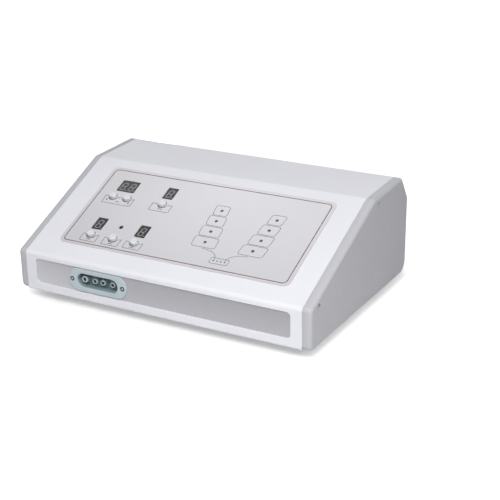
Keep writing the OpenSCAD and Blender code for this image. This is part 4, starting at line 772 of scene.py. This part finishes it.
def ribbon(path, width, closed):
    """Flat line of a width along a path: at each point the two edges lie half the width to
    either side along the mitre of the neighbouring legs."""
    path = np.asarray(path, float)
    ahead = np.roll(path, -1, 0) - path
    if not closed:
        ahead[-1] = ahead[-2]
    ahead /= np.linalg.norm(ahead, axis=1)[:, None]
    behind = np.roll(ahead, 1, 0)
    if not closed:
        behind[0] = ahead[0]
    n = np.stack([-ahead[:, 1], ahead[:, 0]], 1)
    m = np.stack([-behind[:, 1], behind[:, 0]], 1)
    mitre = (m + n) / np.maximum(1 + (m * n).sum(1), 0.4)[:, None]
    pair = np.stack([path + mitre * width / 2, path - mitre * width / 2])
    return pair, grid_faces(2, len(path), close_columns=closed)


def printed(name, drawing, colour_ink):
    """Puts ink on the sheet: lines given as (path, width, closed), or filled as (loop,)."""
    print_surface = Surface()
    for item in drawing:
        points, faces = flat_fill(item) if len(item) == 1 else ribbon(*item)
        print_surface.add(on_slope(points[..., 0], points[..., 1], LABEL_TOP + INK_T), faces)
    piece = make_piece(name, print_surface, colour_ink.material, turn=False)
    work = bmesh.new()
    work.from_mesh(piece.data)
    work.normal_update()
    outward = Vector((0, -math.sin(SLOPE_A), math.cos(SLOPE_A)))
    bmesh.ops.reverse_faces(work, faces=[f for f in work.faces if f.normal.dot(outward) < 0])
    work.to_mesh(piece.data)
    work.free()
    wall(piece, INK_T)


printed("printed_frame", [(rounded_box(FRAME_W, FRAME_H, FRAME_R, FRAME_AT, 14), 1.25, True)],
        ink("ink_mauve", srgb(98, 46, 66)))
printed("printed_rim", [(rounded_box(LABEL_W - 1.6, LABEL_H - 1.6, LABEL_R - 0.8, LABEL_AT, 14),
                         0.5, True)], ink("ink_pale_rose", srgb(214, 196, 203)))

TRAY_R, SCALLOP_R, BUTTON_SHADOW_R = 1.5, 6.6, 6.2


def bow(x, s, radius, start, end, steps):
    """Part of a circle about (x, s) between two angles in degrees."""
    a = np.radians(np.linspace(start, end, steps))
    return np.stack([x + radius * np.cos(a), s + radius * np.sin(a)], 1)


def tray(left, right, low, high, scallops):
    """Outline of a tray: a box whose top dips round each button in a half circle."""
    corners = np.array([(left, high), (left, low), (right, low), (right, high)])
    points = [np.array([(left, high - TRAY_R)]), rounded_corner(*corners[:3], TRAY_R, 6),
              rounded_corner(*corners[1:], TRAY_R, 6), np.array([(right, high - TRAY_R)])]
    points += [bow(x, s, SCALLOP_R, -8, -172, 20) for x, s in sorted(scallops, reverse=True)]
    return np.concatenate(points)


trays = [tray(*sides, [BUTTONS_AT["button_" + name] for name in names]) for sides, names in (
    ((-138.7, -96.7, 101.9, 116.4), ("minus", "plus")),
    ((-69.0, -41.0, 102.8, 116.9), ("upper",)), ((-129.8, -107.1, 34.2, 47.5), ("left",)),
    ((-98.1, -74.6, 34.0, 47.5), ("middle",)), ((-67.1, -43.6, 35.0, 48.0), ("right",)))]
tray_ink_and_painted_shadow = ink("ink_line_grey_painted_shadow", srgb(70, 68, 74))
# Painted shadow: a thick dark crescent under each button, in the tray ink, thickens the scallop
# line and stands in for the button's shadow.
printed("printed_trays_painted_shadows", [(t, 0.75, True) for t in trays]
        + [(bow(x, s, BUTTON_SHADOW_R, -28, -152, 16), 1.3, False) for x, s in BUTTONS_AT.values()],
        tray_ink_and_painted_shadow)

down_mark = np.array([(-135.2, 108.9), (-132.6, 108.9), (-133.9, 105.5)])
up_mark = np.array([(-102.6, 105.5), (-100.0, 105.5), (-101.3, 108.9)])
dash = np.array([(-119.9, 105.9), (-114.9, 105.9), (-114.9, 106.9), (-119.9, 106.9)])
ticks = [np.array([(x - 3.2, s), (x + 3.2, s), (x + 3.2, s + 0.9), (x - 3.2, s + 0.9)])
         for x, s in ((-55.0, 106.4), (-118.4, 36.8), (-85.8, 36.4), (-55.3, 36.9))]
dark_ink = ink("ink_dark", srgb(34, 32, 36))
printed("printed_marks", [(m,) for m in (down_mark, up_mark, dash, *ticks)], dark_ink)


CUFFS_X, CUFF_LOW, CUFF_LONG, CUFF_WIDE, CUFF_NARROW = (32.0, 94.0), 58.8, 72.0, 32.0, 19.0
PUMP_X, PUMP_S, DRAWN_W = 63.0, 42.8, 0.7


def cuff(x0, lean):
    """Four air chambers of a tapering cuff, one above the other, as round-cornered boxes
    that lean a little; returned from the hose end to the far end."""
    chambers = []
    for k in range(4):
        w = CUFF_WIDE + (CUFF_NARROW - CUFF_WIDE) * k / 3
        s = CUFF_LOW + CUFF_LONG * (k + 0.5) / 4
        box = rounded_box(w, CUFF_LONG / 4 - 1.6, 3.2, (0, s), 8)
        box[:, 0] += x0 + (box[:, 1] - CUFF_LOW) * lean
        chambers.append(box)
    return chambers


chambers = cuff(CUFFS_X[0], -0.10) + cuff(CUFFS_X[1], 0.10)
run = np.linspace(0, 1, 30)
hoses = [np.stack([x + sway * np.sin(run * math.pi / 2),
                   CUFF_LOW - 1.0 - 14.0 * run + 3.5 * np.sin(run * math.pi)], 1)
         for x, sway in zip(CUFFS_X, (24.0, -24.0))]
pump_box = rounded_box(24.0, 9.0, 2.0, (PUMP_X, PUMP_S), 6)
printed("printed_cuffs", [(loop, DRAWN_W, True) for loop in chambers]
        + [(hose, DRAWN_W, False) for hose in hoses] + [(pump_box, DRAWN_W, True)],
        ink("ink_drawing_grey", srgb(84, 83, 88)))
dots = [round_hole(2.1, loop.mean(0), 20) for loop in chambers]
dots += [round_hole(1.0, (PUMP_X + d, PUMP_S), 16) for d in (-7.5, -2.5, 2.5, 7.5)]
printed("printed_dots", [(d,) for d in dots], dark_ink)

# ---- Number displays and lamp --------------------------------------------------------
# Seven-segment modules stand on the board behind the panel. Each is a dark grey block with
# a smoky face; its unlit bars show as paler strokes that lean to the right.

FACE_N, FACE_SUNK = LABEL_T - 0.4, 0.35
BOARD_N = -SHEET_T - 6.8
FIGURE_PITCH, FIGURE_LEAN, BAR_W = 12.4, math.radians(8), 1.25
DISPLAY_DARK = srgb(48, 48, 51)
display_case = Finish("display_case_dark", DISPLAY_DARK, 0.4, specular=0.2)
display_case.mottle(0.2, 300.0)
display_case.gloss(0.22, 0.36, 200.0)
DISPLAY_FACE = srgb(74, 74, 77)
display_face = Finish("display_face_smoky_painted_shade", DISPLAY_FACE, 0.22, specular=0.25)
# Painted shade: each face darkens towards the front of the slope, so the lower displays are darker
# than the upper ones.
face_painted_shade = display_face.sum(display_face.along("Y"), 1 / 0.06, 1.3, display_face.noise(80.0),
                             0.1)
display_face.tint(face_painted_shade, mixed(DISPLAY_FACE, 0.55), DISPLAY_FACE, 0.0, 1.0)
display_face.bump(0.005, 0.3, 900.0)
BAR_PALE = srgb(152, 152, 150)
display_bar = Finish("display_bar_unlit", BAR_PALE, 0.4)
display_bar.mottle(0.1, 900.0)


def bar(a, b):
    """One stroke of a figure: a bar with pointed ends from a to b, which then leans."""
    a, b = np.array(a, float), np.array(b, float)
    u = (b - a) / np.linalg.norm(b - a) * BAR_W / 2
    v = np.array([u[1], -u[0]])
    p = np.array([a + u * 0.3, a + u * 1.3 + v, b - u * 1.3 + v, b - u * 0.3, b - u * 1.3 - v,
                  a + u * 1.3 - v])
    p[:, 0] += p[:, 1] * math.tan(FIGURE_LEAN)
    return p


def figure(x, s):
    """The seven strokes of one figure and its point."""
    w, h = 3.0, 6.2
    strokes = [bar((-w, y), (w, y)) for y in (-h, 0, h)]
    strokes += [bar((side * w, y), (side * w, y + h)) for side in (-1, 1) for y in (-h, 0)]
    return [p + (x - 0.4, s) for p in strokes + [round_hole(0.75, (5.0, -h), 14)]]


def stepped(rows):
    """A block on the slope: loops at their heights, given as (loop, n), joined one after
    another and closed by flat ends."""
    loops, heights = np.stack([r for r, _ in rows]), np.array([n for _, n in rows])
    surface = Surface()
    surface.add(on_slope(loops[..., 0], loops[..., 1], heights[:, None]),
                grid_faces(*loops.shape[:2], close_columns=True))
    for loop, n in (rows[0], rows[-1]):
        points, faces = flat_fill([loop])
        surface.add(on_slope(points[:, 0], points[:, 1], n), faces)
    return surface


for name, (x, s, width) in DISPLAYS_AT.items():
    outer = rounded_box(width, DISPLAY_H, 0.5, (x, s), 4)
    inner = rounded_box(width - 1.8, DISPLAY_H - 1.8, 0.4, (x, s), 4)
    shell = stepped([(outer, BOARD_N), (outer, FACE_N - 0.2),
                     (outer * 0.98 + np.array((x, s)) * 0.02, FACE_N), (inner, FACE_N),
                     (inner, FACE_N - FACE_SUNK)])
    piece = make_piece(name + "_case", shell, display_case.material)
    soften(piece, 0)
    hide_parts(name)
    lens = stepped([(inner, FACE_N - FACE_SUNK + 0.02), (inner, FACE_N - 0.08),
                    ((inner - (x, s)) * 0.97 + (x, s), FACE_N - 0.05)])
    piece = make_piece(name + "_face", lens, display_face.material)
    soften(piece, 0)
    strokes = Surface()
    for figure_x in (-FIGURE_PITCH / 2, FIGURE_PITCH / 2) if width == PAIR_W else (0.0,):
        for loop in figure(x + figure_x, s - 0.6):
            points, faces = flat_fill([loop])
            strokes.add(on_slope(points[:, 0], points[:, 1], FACE_N - 0.03), faces)
    make_piece(name + "_figures", strokes, display_bar.material, turn=False)

LAMP_UNLIT = srgb(27, 20, 22)
lamp_lens = Finish("status_lamp_lens", LAMP_UNLIT, 0.2, specular=0.25)
lamp_lens.tint(lamp_lens.noise(400.0), LAMP_UNLIT, mixed(LAMP_UNLIT, 0.02, (1, 0.3, 0.3, 1)))
lens = Surface()
profile = [(0.0, BOARD_N), (LAMP_R, BOARD_N)] + arc(0.0, LABEL_T - 1.5, LAMP_R, 0, 90, 12)
lens.add(*turned(profile, about(on_slope, *LAMP_AT), 32, closed=False))
piece = make_piece("status_lamp", lens, lamp_lens.material)
soften(piece, 0)
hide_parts("status_led")

# ---- Push buttons --------------------------------------------------------------------
# Six white moulded caps stand through the panel. Each has a rounded rim and a slightly
# dished top; a flange under the cover keeps it in, and a stem reaches its switch.

CAP_PROUD, CAP_RIM, DISH = 4.6, 1.2, 0.3
STEM_R, STEM_LONG, FLANGE_W, FLANGE_T, FLANGE_GAP = 1.7, 2.3, 1.5, 1.2, 0.3
BUTTON_WHITE = srgb(228, 228, 232)
button_moulding = Finish("button_white", BUTTON_WHITE, 0.36, coat=0.1)
button_moulding.mottle(0.03, 200.0)
button_moulding.gloss(0.24, 0.38, 250.0)
button_moulding.bump(0.01, 0.3, 1500.0)
flange_top = -SHEET_T - FLANGE_GAP
flange_low, flange_r = flange_top - FLANGE_T, CAP_R + FLANGE_W
stem_low = flange_low - STEM_LONG
for name, (x, s) in BUTTONS_AT.items():
    cap = Surface()
    dish = [(r, CAP_PROUD - DISH * (1 - (r / 3.5) ** 2)) for r in (2.6, 1.6, 0.8, 0.0)]
    profile = ([(0.0, stem_low), (STEM_R, stem_low), (STEM_R, flange_low), (flange_r, flange_low),
                (flange_r, flange_top), (CAP_R, flange_top)]
               + arc(CAP_R - CAP_RIM, CAP_PROUD - CAP_RIM, CAP_RIM, 0, 90, 10) + dish)
    cap.add(*turned(profile, about(on_slope, x, s), 48, closed=False))
    piece = make_piece(name + "_cap", cap, button_moulding.material, body=name,
                       smooth=40)
    soften(piece, 0)
    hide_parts(name)

# ---- Tray, rear panel, feet and their screws -----------------------------------------
# The tray is zinc-plated steel; the rear panel is painted grey with slots. Four rubber feet
# are screwed under the tray from inside their sunk holes.

ZINC = srgb(186, 189, 194)
zinc_plate = Finish("tray_zinc_plated", ZINC, 0.42, metallic=0.8)
zinc_plate.tint(zinc_plate.noise(35.0, 5.0), mixed(ZINC, 0.18), ZINC, 0.3, 0.7)
zinc_plate.gloss(0.34, 0.55, 50.0, 4.0)
zinc_plate.bump(0.01, 0.3, 600.0)
dressed("base_chassis", zinc_plate.material, 0.0)

PANEL_PAINT = srgb(196, 197, 201)
panel_paint = Finish("rear_panel_grey", PANEL_PAINT, 0.5)
panel_paint.mottle(0.04, 14.0)
panel_paint.gloss(0.44, 0.58, 70.0)
panel_paint.bump(0.02, 0.4, 900.0, 2.0)
dressed("rear_panel", panel_paint.material, 0.0)

RUBBER = srgb(58, 58, 60)
foot_rubber = Finish("foot_rubber", RUBBER, 0.8)
foot_rubber.tint(foot_rubber.noise(150.0, 5.0), mixed(RUBBER, 0.2),
                 mixed(RUBBER, 0.06, (1, 1, 1, 1)))
foot_rubber.gloss(0.7, 0.9, 120.0)
foot_rubber.bump(0.05, 0.5, 900.0)
for name in ("foot_front_left", "foot_front_right", "foot_rear_left", "foot_rear_right"):
    dressed(name, foot_rubber.material, 0.8, 40, 4)
dressed("casing_screws", nickel.material, 0.0)

# ---- Mains inlet, switch and fan -----------------------------------------------------
# Black moulded fittings clipped or screwed into the rear panel; the fan has a wire guard.

BLACK_PLASTIC = srgb(38, 38, 41)
black_moulding = Finish("black_moulded_plastic", BLACK_PLASTIC, 0.42)
black_moulding.tint(black_moulding.noise(120.0), BLACK_PLASTIC,
                    mixed(BLACK_PLASTIC, 0.04, (1, 1, 1, 1)))
black_moulding.gloss(0.34, 0.52, 200.0)
black_moulding.bump(0.02, 0.4, 1200.0)
for name, edge in (("power_inlet", 0.3), ("fuse_drawer", 0.2), ("switch_housing", 0.2),
                   ("power_rocker", 0.3), ("fan_frame", 0.0), ("fan_rotor", 0.0)):
    dressed(name, black_moulding.material, edge)
dressed("fan_guard", nickel.material, 0.2)

# ---- Inside --------------------------------------------------------------------------
# Boards, transformer, pump and distributor are hidden by the casing but finished the same
# way, so that the pump can be shown open.

BOARD_GREEN = srgb(38, 96, 62)
solder_mask = Finish("board_green", BOARD_GREEN, 0.35, coat=0.3)
solder_mask.mottle(0.2, 160.0)
finish_nodes(solder_mask.material, "main_board", "display_board")
finish_nodes(black_moulding.material, "button_switches")
finish_nodes(nickel.material, "board_spacers", "small_screws")

RIBBON_GREY = srgb(170, 171, 174)
ribbon_grey = Finish("ribbon_cable_grey", RIBBON_GREY, 0.5)
ribbon_grey.mottle(0.25, 400.0, 2.0, (1.0, 0.02, 0.02))
finish_nodes(ribbon_grey.material, "ribbon_cable")

LEAD_BROWN = srgb(96, 60, 42)
lead_brown = Finish("lead_brown", LEAD_BROWN, 0.45)
lead_brown.mottle(0.15, 200.0)
finish_nodes(lead_brown.material, "mains_leads")

LAMINATION = srgb(120, 120, 124)
laminated = Finish("laminated_core", LAMINATION, 0.5, metallic=0.6)
laminated.mottle(0.35, 900.0, 2.0, (0.01, 1.0, 0.01))
laminated.bump(0.05, 0.5, 900.0, 2.0, (0.01, 1.0, 0.01))
finish_nodes(laminated.material, "transformer_core", "pump_arm_left", "pump_arm_right")

COPPER = srgb(190, 120, 74)
enamelled = Finish("enamelled_copper", COPPER, 0.35, metallic=0.8)
enamelled.mottle(0.3, 700.0, 2.0, (0.02, 0.02, 1.0))
enamelled.bump(0.1, 0.5, 700.0, 2.0, (0.02, 0.02, 1.0))
finish_nodes(enamelled.material, "transformer_winding", "pump_coil")

FUSE_GLASS = srgb(214, 218, 218)
fuse_glass = Finish("fuse_glass", FUSE_GLASS, 0.1, coat=0.5)
fuse_glass.mottle(0.1, 100.0)
finish_nodes(fuse_glass.material, "fuses")

CAST = srgb(184, 186, 190)
die_cast = Finish("pump_die_cast", CAST, 0.5, metallic=0.8)
die_cast.mottle(0.15, 50.0, 5.0)
die_cast.bump(0.1, 0.4, 400.0, 4.0)
finish_nodes(die_cast.material, "pump_case", "pump_lid", "pump_head_left", "pump_head_right",
             "distributor_motor")
finish_nodes(foot_rubber.material, "diaphragm_left", "diaphragm_right", "pump_isolators")

TUBE_MILKY = srgb(222, 222, 216)
silicone = Finish("air_tube_silicone", TUBE_MILKY, 0.35)
silicone.mottle(0.08, 90.0)
finish_nodes(silicone.material, "air_tubes", "distributor_body", "distributor_rotor")
